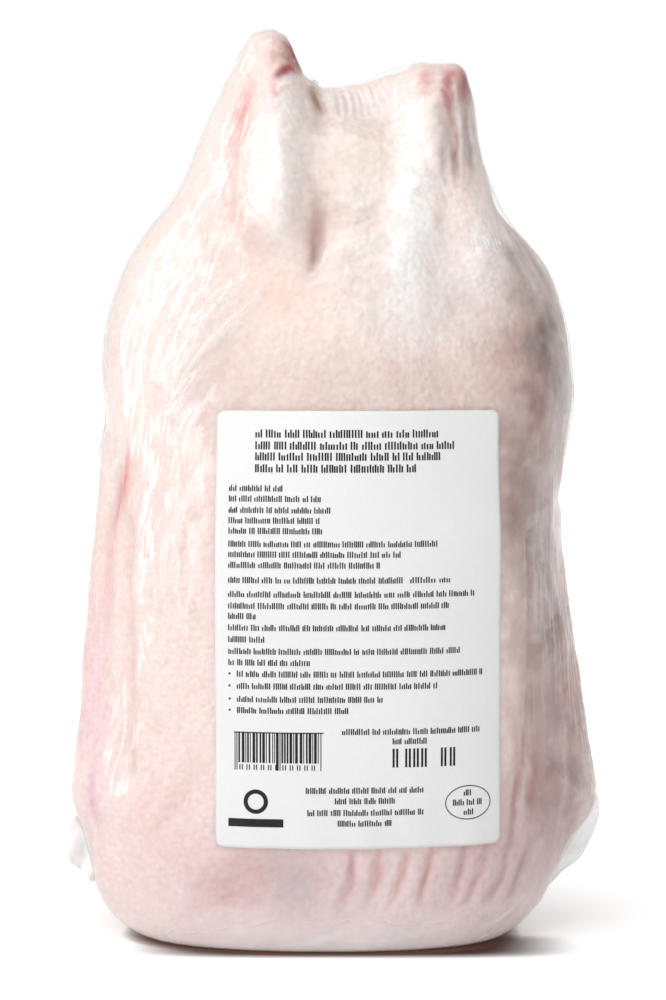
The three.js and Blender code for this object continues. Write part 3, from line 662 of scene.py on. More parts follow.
skinColours = {
    "base": "#f6e4dc",
    # name: side, centre (across, up), radii, hex, strength
    "zones": {
        "lowPink": ("front", (-48, 44), (52, 44), "#f1d5d5", 0.75),
        "lowMiddle": ("front", (4, 20), (66, 22), "#ecd4d8", 0.8),
        "underLabelLeft": ("front", (-24, 29), (30, 16), "#dabcbb", 0.75),
        "lowRight": ("front", (60, 42), (26, 30), "#d6b4b5", 0.8),
        "rightThighPale": ("front", (53, 243), (10, 27), "#f4eeec", 0.9),
        # painted shade: the right flank turns away from the light, so the zones from here to rightEdge lay
        # dark browns on it
        "rightWedgeSoftShade": ("front", (66, 212), (11, 26), "#b89e97", 0.8),
        "rightWedge": ("front", (76, 208), (8, 32), "#5e3a31", 0.95),
        "besideLabel": ("front", (67, 164), (9, 34), "#94706a", 0.9),
        "rightSide": ("front", (80, 112), (11, 60), "#633f3c", 0.95),
        "besideLabelLow": ("front", (66, 116), (6, 14), "#c09a93", 0.7),
        "lowRightShade": ("front", (77, 68), (8, 30), "#946a69", 0.8),
        "rightEdge": ("front", (88, 98), (6, 70), "#7b5856", 0.9),
        # painted sheen: a paler stripe where the film on the right rim catches the light
        "rightBand": ("front", (84, 196), (3.6, 34), "#b5a5a3", 0.85),
        "rightLegShade": ("front", (67, 248), (5, 20), "#a3928c", 0.8),
        "shoulderPeach": ("front", (-20, 232), (13, 10), "#f8dacb", 0.7),
        "peachHigh": ("front", (-30, 255), (8, 18), "#f7e3d9", 0.7),
        "leftPeach": ("front", (-47, 232), (24, 34), "#f8ebe6", 0.7),
        "breastTop": ("front", (0, 195), (48, 20), "#dcc8c0", 0.75),
        "breastRight": ("front", (40, 203), (24, 12), "#e7cfc4", 0.6),
        "breastPale": ("front", (33, 231), (20, 17), "#f9f3f0", 0.75),
        "leftBreast": ("front", (-56, 140), (20, 70), "#ebd4cf", 0.7),
        "leftDrumstick": ("front", (-17, 282), (13, 24), "#f8f3f0", 0.9),
        "rightDrumstick": ("front", (31, 262), (10, 40), "#fdf9f6", 0.95),
        "belly": ("front", (10, 278), (17, 18), "#e8dbd2", 0.85),
        "bellyLow": ("front", (12, 240), (16, 18), "#efe4de", 0.8),
        "web": ("front", (13, 302), (20, 6), "#faf4f2", 0.9),
        "rightStump": ("front", (41, 310), (9, 8), "#e9c1bb", 0.85),
        "rightShin": ("front", (46, 288), (6, 16), "#cdbcb9", 0.8),
        "leftEdge": ("front", (-86, 80), (6, 44), "#eccdd3", 0.8),
        "backRosy": ("back", (0, 120), (70, 90), "#efcfc4", 0.5),
        "backPale": ("back", (0, 210), (50, 60), "#f6e3d8", 0.5),
        "backLow": ("back", (0, 30), (70, 26), "#dfb5b0", 0.6),
        "tailPink": ("back", (4, 292), (14, 18), "#e9b9ad", 0.6),
        "leftSideWing": ("left", (0, 100), (20, 70), "#f0cac2", 0.5),
        "rightSideWing": ("right", (0, 100), (20, 70), "#e4b6ad", 0.6),
    },
    # painted along a path: points (across, up) on the front, half width, hex, strength
    "strokes": {
        # pale frosted skin, made whiter still as a painted highlight down the lit left side of the left
        # drumstick
        "drumstickWhite": ([(-26, 284), (-24.5, 273), (-21, 262), (-17.5, 252), (-14, 244)],
                           3.6, "#fdf7f4", 0.85),
        "drumstickShade": ([(-6, 296), (-5, 284), (-3, 272)], 3.5, "#e2d5cd", 0.75),
        # painted shade: the pocket strokes lay browns in the crease beside the left drumstick, darkest at its
        # low end
        "pocketSoftShade": ([(-2, 280), (-3.5, 264), (-6, 246)], 4.2, "#dac8be", 0.8),
        "pocket": ([(-4.2, 266), (-5.2, 256), (-5.6, 248), (-7.5, 241)], 2.4, "#ba9485", 0.9),
        "pocketDeepShade": ([(-5.2, 251), (-5.8, 246), (-7.5, 241.5)], 1.5, "#99705f", 0.85),
        "pocketFold": ([(-9.5, 235.5), (-4, 237), (1, 242)], 1.3, "#f3edee", 0.8),
        # painted shade: browns in the hollow at the root of the web, beside the left stump
        "webRootSoftShade": ([(-8, 301), (-5, 293), (0, 289)], 3.5, "#d8cac2", 0.75),
        "webRoot": ([(-8, 309), (-4.8, 302), (-2.4, 296)], 2.3, "#9a6a54", 1.0),
        "shinLeft": ([(39.3, 303), (39.3, 289), (40.6, 274)], 2.4, "#b3a19d", 0.9),
        "shoulderPink": ([(-36, 296), (-33.5, 270), (-30, 244)], 5.5, "#ecc9c1", 0.65),
        "besideDrumstick": ([(-36, 300), (-39, 285)], 2.6, "#f1d0ca", 0.6),
        # painted shade along the belly hollow
        "bellyHollowShade": ([(0, 284), (8, 280), (18, 284)], 4, "#ddccc1", 0.7),
        "bellySide": ([(-1, 277), (0, 266), (2, 258)], 3.2, "#dbcbc1", 0.7),
        "bellyLight": ([(6, 268), (14, 262)], 4, "#f5ede8", 0.8),
        # painted highlight along the raised belly arc, with painted shade beside it in the next stroke
        "bellyArc": ([(-3, 243), (4, 249), (12, 252), (22, 252)], 1.8, "#faf4f1", 0.9),
        "bellyArcShade": ([(8, 254), (14, 256), (19, 261)], 1.6, "#e0cbbd", 0.75),
        "bellySpot": ([(6, 242), (10, 243)], 3.2, "#dccec7", 0.7),
        # pale frosted skin, made white as a painted highlight down the ridge of the right drumstick
        "kneeWhite": ([(27, 292), (28, 276), (26, 262), (26, 246), (22, 220)], 5.2, "#ffffff", 0.95),
        "kneeShade": ([(40, 262), (41, 247), (37, 230)], 3.0, "#e9deda", 0.75),
        "kneeBrown": ([(37.5, 261), (38.5, 258)], 1.8, "#e2cbbb", 0.7),
        "kneeWrinkles": ([(33, 276), (41, 277)], 3.4, "#ded5d1", 0.5),
        "greyMark": ([(35.4, 291.6), (37.6, 290.6)], 1.3, "#b9b2af", 0.6),
        "stumpFace": ([(-26, 321), (-20, 317), (-24, 312)], 3.5, "#f3c8c0", 0.85),
        "stumpRight": ([(-17.2, 324.4), (-13.4, 319), (-10.4, 313.4)], 2.4, "#a95d53", 1.0),
        "stumpRed": ([(-11, 315.8), (-14.2, 314), (-18, 311.6)], 2.4, "#b0584e", 1.0),
        "stumpRidge": ([(-12.8, 317.9), (-16.4, 318.8), (-21, 317)], 0.9, "#edc3b6", 0.8),
        "stumpCreaseMiddle": ([(-12, 314.8), (-14.4, 316.6), (-17, 317.2)], 1.1, "#93493e", 0.95),
        "stumpLip": ([(-10.6, 311.6), (-14, 309.9), (-17.4, 308), (-19, 305)], 1.5, "#efe6e8", 0.9),
        "stumpCrease": ([(-10, 314.4), (-14.4, 312.4), (-17.6, 311), (-20.4, 308.6)], 1.7, "#a9322d", 1.0),
        "stumpPink": ([(-20, 308.6), (-19.8, 305), (-18.6, 302)], 1.2, "#d98f8d", 0.85),
        "stumpLilac": ([(-22.5, 308), (-24, 298)], 1.4, "#e4d8de", 0.7),
        "stumpLilacInner": ([(-19.6, 303), (-22, 297)], 1.2, "#dfd2d9", 0.7),
        "shankPink": ([(-26, 313), (-30.5, 302), (-31.5, 294), (-32.4, 285)], 3.0, "#e2958e", 0.95),
        "shankPinkLow": ([(-37.5, 290), (-33.5, 286.5)], 1.9, "#edbfb8", 0.7),
        "rightStumpLine": ([(34.8, 314), (33.8, 308.6), (33, 303)], 1.3, "#dd968f", 0.85),
        "rightStumpPool": ([(43, 312.6), (41.6, 306), (42.6, 297)], 2.8, "#b0584f", 1.0),
        "rightStumpRed": ([(46.6, 315), (48, 308), (46.6, 299)], 2.7, "#96433b", 1.0),
        "rightStumpCleft": ([(44.4, 313), (41.6, 308), (40.6, 303)], 0.9, "#bd7068", 0.85),
        "rightStumpWhite": ([(38.6, 314), (38, 305)], 1.3, "#f3e4e1", 0.8),
        "rightStumpRidge": ([(44.8, 309), (44.2, 303), (45.4, 298)], 0.8, "#f0e5e2", 0.8),
        # painted shade in the shin's grooves and painted highlight on the ridge between them
        "shinGroove": ([(42.4, 303), (43.3, 291), (44.6, 279), (45.2, 272)], 1.1, "#99706c", 0.85),
        "shinRidge": ([(45.6, 302), (45.8, 290), (47, 277)], 1.0, "#e6dddb", 0.8),
        "shinGrooveRight": ([(48.6, 303), (48.2, 294), (49, 284), (51.4, 274)], 1.0, "#8f7571", 0.85),
        "shinEdge": ([(50.4, 298), (51.4, 288), (55, 277), (60, 267)], 1.2, "#b5a8a4", 0.8),
        "legEdge": ([(61, 266), (67, 255), (75, 242), (81, 231)], 1.4, "#a6978f", 0.8),
        "wedgeStreak": ([(75.6, 227), (74.2, 219)], 1.3, "#8e6a62", 0.7),
        "wedgeStreakLow": ([(70, 186), (68, 176)], 1.2, "#8e6c66", 0.7),
        "bandLine": ([(78, 221), (80.4, 211), (80.6, 198), (79, 184)], 0.9, "#8d7a74", 0.7),
        "bandLineOuter": ([(82, 217), (84.4, 206), (83, 190), (81, 177)], 0.8, "#9b8986", 0.6),
        # painted shade on the right flank beside the label
        "besideLabel": ([(61, 186), (64, 176), (63, 160)], 3.0, "#b1938d", 0.7),
        "shoulderPeach": ([(-26, 244), (-22, 234), (-14, 229)], 4.0, "#f9d7c5", 0.6),
        "wingRed": ([(-71.6, 180), (-73.2, 168), (-75.6, 157), (-79, 144)], 2.0, "#f0a39e", 0.95),
        "wingRedCore": ([(-71.8, 178), (-73.4, 167), (-75.2, 159)], 0.9, "#e37d7b", 0.9),
        "wingRedLow": ([(-78, 148), (-80.5, 134), (-81, 112)], 2.4, "#efb6b6", 0.8),
        "wingPink": ([(-83, 122), (-85, 92), (-85.5, 60)], 3.0, "#ecc6cf", 0.7),
        "wingMauve": ([(-87.5, 62), (-86, 52), (-83.5, 42)], 1.5, "#d9a3b6", 0.7),
        # painted shade: darker pinks laid in the grooves of the pleats under the label
        "pleatA": ([(8.6, 42), (7, 30), (3, 17)], 1.7, "#c3918c", 0.85),
        "pleatB": ([(17.5, 42), (15.8, 30), (12, 18)], 1.9, "#c99893", 0.85),
        "pleatC": ([(27.5, 42), (24.8, 29), (21.5, 18)], 1.5, "#c99893", 0.8),
        "pleatD": ([(35.8, 42), (34, 30), (31, 17)], 1.5, "#c18781", 0.85),
        "pleatE": ([(47.5, 42), (46, 30), (42, 18)], 1.5, "#bd9397", 0.8),
        "pleatF": ([(55, 40), (52, 28), (47, 16)], 1.4, "#b98f93", 0.8),
        "pleatG": ([(64, 40), (60, 28), (54, 16)], 1.5, "#ae8084", 0.8),
        "pleatH": ([(71, 40), (68, 28), (61, 16)], 1.5, "#ab7f83", 0.8),
        # painted highlight: paler crests between those pleats
        "pleatLightA": ([(3.4, 38), (1.6, 26), (-2, 16)], 1.6, "#e6d8da", 0.7),
        "pleatLightB": ([(12.6, 38), (10.4, 26), (7, 16)], 1.6, "#e9d8d6", 0.7),
        "pleatLightC": ([(22.4, 38), (19, 24), (16, 15)], 1.4, "#ead9d6", 0.7),
        "pleatLightD": ([(31.6, 38), (29, 26), (26, 16)], 1.3, "#ecdcda", 0.7),
        "pleatLightE": ([(41, 38), (38.6, 26), (35, 16)], 2.0, "#ddc8ca", 0.7),
        "pleatLightF": ([(59.6, 38), (56, 27), (51, 17)], 1.5, "#dcc6c9", 0.7),
        # painted shade in the side pleats' grooves, and painted highlight on their crests in the two strokes
        # after them
        "sidePleatA": ([(69, 78), (66.5, 62), (64, 46), (63.5, 36)], 1.3, "#9c6d6c", 0.8),
        "sidePleatB": ([(74, 82), (72.5, 64), (71, 46)], 1.4, "#8d6060", 0.8),
        "sidePleatC": ([(79, 86), (78, 66), (76.5, 48)], 1.4, "#8f6565", 0.7),
        "sideLightA": ([(66.6, 78), (63.6, 62), (61.4, 46)], 1.2, "#d8b5b0", 0.8),
        "sideLightB": ([(71.4, 80), (69.4, 62), (67.4, 44)], 1.2, "#d0adab", 0.7),
        # painted shade in the grooves of the low arcs
        "arcA": ([(-48, 30), (-36, 24), (-22, 27)], 1.5, "#dfb5b3", 0.6),
        "arcB": ([(-44, 24), (-32, 18), (-16, 21)], 1.6, "#d9b4b4", 0.6),
        "underLabelGrey": ([(-26, 38), (-12, 28), (-6, 14)], 10, "#c9b4b6", 0.8),
    },
    # the rims of the zones wander by layers of soft noise, the strokes by a share of that:
    # wavelength, height, seed
    "warp": [(16, 1.8, 31), (5, 0.9, 33)], "strokeWarp": 0.25,
    # hex, strength; the fold and hollow colours are painted shade, laid where the skin dents in and where the
    # bag stands off it
    "foldShade": ("#c48e88", 0.6), "foldDepth": 1.6,
    "hollowShade": ("#c9a293", 0.2), "hollowDepth": 6,
    "mottle": ("#e9cfc5", 0.2),
    "frost": ("#fffdfb", 0.15),
}


def tinted(colour, hexColour, cover):
    # one colour laid over the others: colour (1 - cover) + new colour * cover
    cover = cover[..., None]
    return colour * (1 - cover) + linearFrom(hexColour) * cover


def paintSkin(points):
    # the base colour, then each zone laid over it by a bell with a wavy rim, then strokes, then painted shade
    # in the folds and hollows
    colour = np.zeros(points.shape) + linearFrom(skinColours["base"])
    warp = sum(height * np.stack([waves(points, wavelength, seed), waves(points, wavelength, seed + 1)], -1)
               for wavelength, height, seed in skinColours["warp"])
    for side, centre, radii, hexColour, strength in skinColours["zones"].values():
        flat = (points[..., [0, 2]] if side in ("front", "back") else points[..., [1, 2]]) + warp
        bell = np.exp(-awayFrom(flat, centre, radii) ** 1.2)
        colour = tinted(colour, hexColour, strength * bell * facing[side])
    flat = points[..., [0, 2]] + skinColours["strokeWarp"] * warp
    for path, width, hexColour, strength in skinColours["strokes"].values():
        cover = np.zeros(points.shape[:2])
        layFold(cover, flat, smoothLine(path), width, strength, forward)
        colour = tinted(colour, hexColour, cover)
    covers = {
        # painted shade in the skin's dents and where the bag stands off it
        "foldShade": np.clip(-skinDents / skinColours["foldDepth"], 0, 1),
        "hollowShade": np.clip(bagHollow / skinColours["hollowDepth"], 0, 1),
        "mottle": np.clip(waves(points, 11, 41, 24) * 0.6, 0, 1),
        "frost": np.clip(waves(points, 4.5, 42, 24) - 0.9, 0, 1),         # on the crests of the noise only
    }
    for name, cover in covers.items():
        hexColour, strength = skinColours[name]
        colour = tinted(colour, hexColour, strength * cover)
    return colour


skinFinish = {
    "roughness": 0.5, "specular": 0.35,
    "subsurface": 0.2, "scatter": (1.0, 0.45, 0.35), "scatterScale": 0.0025,
    "poreSpacing": 2.6, "poreHeight": 0.0008, "grain": 0.9, "grainHeight": 0.0001,
    "speckle": 2.6, "speckleDark": "#f7efec",
}


def makeSkin():
    # frozen duck skin over fat: soft and pale, light goes in a few millimetres and comes out warmer;
    # small raised follicles about three millimetres apart catch the light
    material = newMaterial("duckSkin")
    tint = addNode(material, "ShaderNodeAttribute", {"attribute_name": "skinTint"})
    place = addNode(material, "ShaderNodeTexCoord")
    pores = addNode(material, "ShaderNodeTexVoronoi", {
        "Scale": 1 / (skinFinish["poreSpacing"] * mm), "Randomness": 0.9,
    }, {"Vector": (place, "Object")})
    grain = addNoise(material, skinFinish["grain"], {"Detail": 3.0}, (place, "Object"))
    speckle = addNoise(material, skinFinish["speckle"], {"Detail": 4.0, "Roughness": 0.65}, (place, "Object"))
    contrast = addNode(material, "ShaderNodeMapRange", {"From Min": 0.42, "From Max": 0.68},
                       {"Value": (speckle, "Fac")})
    toned = addNode(material, "ShaderNodeMix", {
        "data_type": "RGBA", "blend_type": "MULTIPLY", 7: hexRgba(skinFinish["speckleDark"]),
    }, {0: (contrast, "Result"), 6: (tint, "Color")})
    bump = addBump(material, 0.6, skinFinish["poreHeight"], (pores, "Distance"), invert=True)
    fine = addBump(material, 0.6, skinFinish["grainHeight"], (grain, "Fac"), (bump, "Normal"))
    shader = addNode(material, "ShaderNodeBsdfPrincipled", {
        "Roughness": skinFinish["roughness"], "Specular IOR Level": skinFinish["specular"],
        "Subsurface Weight": skinFinish["subsurface"], "Subsurface Radius": skinFinish["scatter"],
        "Subsurface Scale": skinFinish["scatterScale"],
    }, {"Base Color": (toned, 2), "Normal": (fine, "Normal")})
    addNode(material, "ShaderNodeOutputMaterial", {}, {"Surface": (shader, "BSDF")})
    return material


creaseForm = {"width": 2.0, "length": 14, "height": 0.0009, "leanLeft": 38, "leanRight": -25}
filmFinish = {
    "ior": 1.5, "sheen": 1.0, "roughness": 0.16, "clear": "#fdfdfd", "milk": "#ffffff",
    "crumple": 1.7, "crumpleHeight": 0.00014,
}


def addCreases(material, place, bump):
    # long thin creases: ridged noise drawn out along three ways, each shown by one channel of the attribute
    ways = addNode(material, "ShaderNodeAttribute", {"attribute_name": "creases"})
    shares = addNode(material, "ShaderNodeSeparateColor", {}, {"Color": (ways, "Color")})
    height = None
    for channel, lean in (("Red", creaseForm["leanLeft"]), ("Green", 0), ("Blue", creaseForm["leanRight"])):
        turned = addNode(material, "ShaderNodeMapping", {
            "vector_type": "TEXTURE", "Rotation": (0, radians(lean), 0),
            "Scale": (1, 1, creaseForm["length"]),
        }, {"Vector": (place, "Object")})
        ridges = addNoise(material, creaseForm["width"], {"noise_type": "RIDGED_MULTIFRACTAL", "Detail": 1.0},
                          (turned, "Vector"))
        share = addNode(material, "ShaderNodeMath", {"operation": "MULTIPLY"},
                        {0: (ridges, "Fac"), 1: (shares, channel)})
        height = share if height is None else addNode(
            material, "ShaderNodeMath", {"operation": "ADD"}, {0: (height, "Value"), 1: (share, "Value")})
    return addBump(material, 0.5, creaseForm["height"], (height, "Value"), (bump, "Normal"))


def makeFilm(name, milkFromAttribute=True, milkShare=0.1):
    # clear shrink film: nearly see-through, glossy, with a milky share where it is folded or creased
    material = newMaterial(name)
    place = addNode(material, "ShaderNodeTexCoord")
    stretched = addNode(material, "ShaderNodeMapping", {"Scale": (1.0, 1.0, 0.35)},
                        {"Vector": (place, "Object")})
    crumple = addNoise(material, filmFinish["crumple"], {"Detail": 2.0, "Distortion": 0.4},
                       (stretched, "Vector"))
    bump = addBump(material, 0.7, filmFinish["crumpleHeight"], (crumple, "Fac"))
    if milkFromAttribute:
        bump = addCreases(material, place, bump)
    clear = addNode(material, "ShaderNodeBsdfTransparent", {"Color": hexRgba(filmFinish["clear"])})
    milk = addNode(material, "ShaderNodeBsdfDiffuse", {"Color": hexRgba(filmFinish["milk"])},
                   {"Normal": (bump, "Normal")})
    body = addNode(material, "ShaderNodeMixShader", {"Fac": milkShare},
                   {1: (clear, "BSDF"), 2: (milk, "BSDF")})
    if milkFromAttribute:
        share = addNode(material, "ShaderNodeAttribute", {"attribute_name": "milk"})
        material.node_tree.links.new(share.outputs["Fac"], body.inputs["Fac"])
    gloss = addNode(material, "ShaderNodeBsdfAnisotropic", {"Roughness": filmFinish["roughness"]},
                    {"Normal": (bump, "Normal")})
    edge = addNode(material, "ShaderNodeFresnel", {"IOR": filmFinish["ior"]}, {"Normal": (bump, "Normal")})
    # only the outer side shines
    side = addNode(material, "ShaderNodeNewGeometry")
    outside = addNode(material, "ShaderNodeMath", {"operation": "SUBTRACT", 0: filmFinish["sheen"]},
                      {1: (side, "Backfacing")})
    sheen = addNode(material, "ShaderNodeMath", {"operation": "MULTIPLY", "use_clamp": True},
                    {0: (edge, "Fac"), 1: (outside, "Value")})
    whole = addNode(material, "ShaderNodeMixShader", {},
                    {"Fac": (sheen, "Value"), 1: (body, "Shader"), 2: (gloss, "BSDF")})
    addNode(material, "ShaderNodeOutputMaterial", {}, {"Surface": (whole, "Shader")})
    return material


paperFinish = {"fibre": 0.8, "fibreHeight": 0.00003, "dark": "#e9e9e9", "light": "#f2f2f2", "roughness": 0.7}
inkFinish = {"patches": 6, "dark": "#101012", "light": "#1d1d20", "roughness": 0.6}


def makePaper():
    # coated thermal paper: white with a faint fibre grain and a soft sheen
    material = newMaterial("labelPaper")
    place = addNode(material, "ShaderNodeTexCoord")
    fibre = addNoise(material, paperFinish["fibre"], {"Detail": 4.0}, (place, "Object"))
    tone = addBlend(material, (fibre, "Fac"), paperFinish["dark"], paperFinish["light"])
    bump = addBump(material, 0.25, paperFinish["fibreHeight"], (fibre, "Fac"))
    shader = addNode(material, "ShaderNodeBsdfPrincipled", {
        "Roughness": paperFinish["roughness"], "Specular IOR Level": 0.15,
    }, {"Base Color": (tone, 2), "Normal": (bump, "Normal")})
    addNode(material, "ShaderNodeOutputMaterial", {}, {"Surface": (shader, "BSDF")})
    return material


def makeInk():
    # thermal print: near black, a little uneven, matte
    material = newMaterial("thermalInk")
    place = addNode(material, "ShaderNodeTexCoord")
    fade = addNoise(material, inkFinish["patches"], {"Detail": 2.0}, (place, "Object"))
    tone = addBlend(material, (fade, "Fac"), inkFinish["dark"], inkFinish["light"])
    shader = addNode(material, "ShaderNodeBsdfPrincipled", {
        "Roughness": inkFinish["roughness"], "Specular IOR Level": 0.3,
    }, {"Base Color": (tone, 2)})
    addNode(material, "ShaderNodeOutputMaterial", {}, {"Surface": (shader, "BSDF")})
    return material


print("skin and film pieces")
skinMaterial, filmMaterial = makeSkin(), makeFilm("shrinkFilm")
paperMaterial, inkMaterial = makePaper(), makeInk()

vertices, faces = closedSkin(skinPoints + toFrame)
duckSkin = meshPiece("duckSkin", vertices, faces, skinMaterial)
setAttribute(duckSkin, "skinTint", perVertex(paintSkin(skinPoints)))

vertices, faces = closedSkin(filmPoints + toFrame)
shrinkFilm = meshPiece("shrinkFilm", vertices, faces, filmMaterial)
# where the film is doubled or gathered it turns milky; the rightBand, rightEdge and leftEdge veils are
# painted sheen, a whiter film along rims that catch the light: side, centre, radii, share
filmVeils = {
    "web": ("front", (16, 305), (16, 6), 0.15),
    "rightBand": ("front", (87, 200), (4, 30), 0.25),
    "rightEdge": ("front", (93, 80), (4, 60), 0.2),
    "foot": ("front", (2, 0), (80, 16), 0.4),
    "leftEdge": ("front", (-40, 286), (5, 20), 0.2),
}
# shares of milk everywhere, on full folds, on streaks (partly painted highlight), over deep hollows and in
# soft patches
filmMilk = {
    "least": 0.04, "folds": 0.08, "foldHeight": 0.8, "streaks": 0.36,
    "hollows": 0.12, "hollowDepth": 8, "patches": 0.04, "patchSize": 12, "most": 0.7,
}
milk = filmMilk["least"] + filmMilk["folds"] * np.clip(filmFolded / filmMilk["foldHeight"], 0, 1)
# painted highlight: the streaks turn milky white where they catch the light, over the milk that folded film
# has
milk = milk + filmMilk["streaks"] * np.clip(streaks, 0, 1)
milk = milk + filmMilk["hollows"] * np.clip(bagHollow / filmMilk["hollowDepth"], 0, 1)
milk = milk + filmMilk["patches"] * np.clip(waves(filmPoints, filmMilk["patchSize"], 51), 0, 1)
across, up = filmPoints[..., 0], filmPoints[..., 2]
places = filmPoints[..., [0, 2]]
for side, centre, radii, share in filmVeils.values():
    milk = milk + share * np.exp(-awayFrom(places, centre, radii)) * facing[side]
setAttribute(shrinkFilm, "milk", perVertex(np.clip(milk, 0, filmMilk["most"])))

# which way the fine creases run: they lean left on the left shoulder, lean right on the right leg and the
# web, and stand upright elsewhere, strongest on the right flank, the stumps and the back.
# shares, and for each area where it fades in, from and to, across or up
creaseAreas = {
    "shoulder": 0.22, "shoulderAcross": (-8, -30), "shoulderUp": (176, 196), "shoulderTop": (300, 262),
    "legAcross": (44, 56), "legUp": (216, 236),
    "web": 0.6, "webCentre": (12, 305), "webRadii": (14, 7),
    "stumps": 0.6, "stumpsUp": (286, 300),
    "right": 0.9, "left": 0.25, "flankAcross": (40, 66),
    "plain": 0.1, "back": 0.8,
}
leanLeft = creaseAreas["shoulder"] * smoothStep(*creaseAreas["shoulderAcross"], across)
leanLeft = leanLeft * smoothStep(*creaseAreas["shoulderUp"], up) * smoothStep(*creaseAreas["shoulderTop"], up)
web = creaseAreas["web"] * np.exp(-awayFrom(places, creaseAreas["webCentre"], creaseAreas["webRadii"]))
leg = smoothStep(*creaseAreas["legAcross"], across) * smoothStep(*creaseAreas["legUp"], up)
leanRight = np.maximum(leg, web)
stumps = creaseAreas["stumps"] * smoothStep(*creaseAreas["stumpsUp"], up) * (1 - web)
flank = creaseAreas["right"] * smoothStep(*creaseAreas["flankAcross"], across)
flank = flank + creaseAreas["left"] * smoothStep(*creaseAreas["flankAcross"], -across)
upright = (1 - leanLeft) * (1 - leanRight) * np.clip(creaseAreas["plain"] + flank + stumps, 0, 1)
upright = np.where(directions[..., 1] < 0, upright, creaseAreas["back"])
creases = np.stack([leanLeft, upright, leanRight], -1) * offLabel[..., None]
setAttribute(shrinkFilm, "creases", perVertex(creases))
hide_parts("wrapped_duck")


pinchForm = {
    # shares of half width and height, a bell
    "profile": [(-1, -0.3), (-0.7, 0.16), (-0.4, 0.62), (0, 1), (0.4, 0.62), (0.7, 0.16), (1, -0.3)],
    "milk": 0.8, "step": 1.2, "castFrom": 200,
}


def pinchedFolds(film):
    # a small triangle-like profile carried along each line on the bag, thinning out to both ends
    tree = BVHTree.FromPolygons(film[0].tolist(), film[1])
    profile = np.array(pinchForm["profile"], float)
    count = len(profile)
    rng = np.random.default_rng(9)
    vertices, faces = [], []
    for side, first, last, lines, width, height, uneven, bow in filmPinches.values():
        sign = -1.0 if side in ("front", "left") else 1.0
        across, along = (0, 1) if side in ("front", "back") else (1, 0)
        for line in foldLines(first, last, lines, uneven, bow, rng):
            size = rng.uniform(0.55, 1.2)
            steps = max(8, int(np.linalg.norm(line[-1] - line[0]) / pinchForm["step"]))
            t = np.linspace(0, 1, steps)
            knots = np.linspace(0, 1, len(line))
            starts = np.zeros((steps, 3))
            starts[:, across], starts[:, 2] = np.interp(t, knots, line[:, 0]), np.interp(t, knots, line[:, 1])
            starts[:, along] = sign * pinchForm["castFrom"]
            aim = np.zeros(3)
            aim[along] = -sign
            hits = [tree.ray_cast(Vector(start), Vector(aim)) for start in starts]
            if any(hit[0] is None for hit in hits):
                continue
            spots, normals = (np.array([hit[i] for hit in hits]) for i in (0, 1))
            normals = normals + np.roll(normals, 1, 0) + np.roll(normals, -1, 0)
            normals[[0, -1]] = normals[[1, -2]]
            normals /= np.linalg.norm(normals, axis=1, keepdims=True)
            tangents = np.gradient(spots, axis=0)
            sideways = np.cross(tangents, normals)
            sideways /= np.maximum(np.linalg.norm(sideways, axis=1, keepdims=True), 1e-9)
            taper = (0.06 + 0.94 * np.sin(pi * t) ** 0.7) * size * rng.uniform(0.8, 1.2, steps)
            outline = profile * (width, height)
            ring = (spots[:, None] + sideways[:, None] * outline[None, :, :1] * taper[:, None, None]
                    + normals[:, None] * outline[None, :, 1:] * taper[:, None, None])
            start = sum(len(v) for v in vertices)
            vertices.append(ring.reshape(-1, 3))
            faces += (gridFaces(steps, count, True) + start).tolist()
            faces.append(list(range(start + count - 1, start - 1, -1)))
            faces.append(list(range(start + (steps - 1) * count, start + steps * count)))
    return np.concatenate(vertices), faces


print("pinched folds")
filmRaw = closedSkin(filmPoints)
vertices, faces = pinchedFolds(filmRaw)
pinchedFilm = makeFilm("pinchedFilm", False, pinchForm["milk"])
pinches = meshPiece("filmPinches", vertices + toFrame, faces, pinchedFilm)


print("label")
# rows whose rays are level, so that each has one height
level = np.abs(directions[:, 0, 2]) < 1e-9
frontColumns = directions[:, :, 1][level][0] < -0.15
levelPoints = smoothFilm[level][:, frontColumns]
order = np.argsort(levelPoints[0, :, 0])
xSamples = np.arange(labelForm["from"], labelForm["to"] + 0.25, 0.5)
zRows = levelPoints[:, 0, 2]
frontOfFilm = np.stack([np.interp(xSamples, row[order, 0], row[order, 1]) for row in levelPoints])


def frontAt(x, z):
    # front of the bag at (x, z), linear between the samples
    column = np.clip((x - xSamples[0]) / (xSamples[1] - xSamples[0]), 0, len(xSamples) - 1.001)
    row = np.clip(np.interp(z, zRows, np.arange(len(zRows))), 0, len(zRows) - 1.001)
    c0, r0 = column.astype(int), row.astype(int)
    fc, fr = column - c0, row - r0
    return ((frontOfFilm[r0, c0] * (1 - fc) + frontOfFilm[r0, c0 + 1] * fc) * (1 - fr)
            + (frontOfFilm[r0 + 1, c0] * (1 - fc) + frontOfFilm[r0 + 1, c0 + 1] * fc) * fr)


# paper keeps its length: heights and widths are reached by the arc along the front
walkZ = np.linspace(-1, 1, 721) * labelForm["walkUp"] + labelCentre[1]
walkY = frontAt(np.full_like(walkZ, labelCentre[0]), walkZ)
arcUp = np.concatenate([[0], np.cumsum(np.hypot(np.diff(walkZ), np.diff(walkY)))])
arcUp -= np.interp(labelCentre[1], walkZ, arcUp)
walkX = np.linspace(-1, 1, 497) * labelForm["walkAcross"] + labelCentre[0]


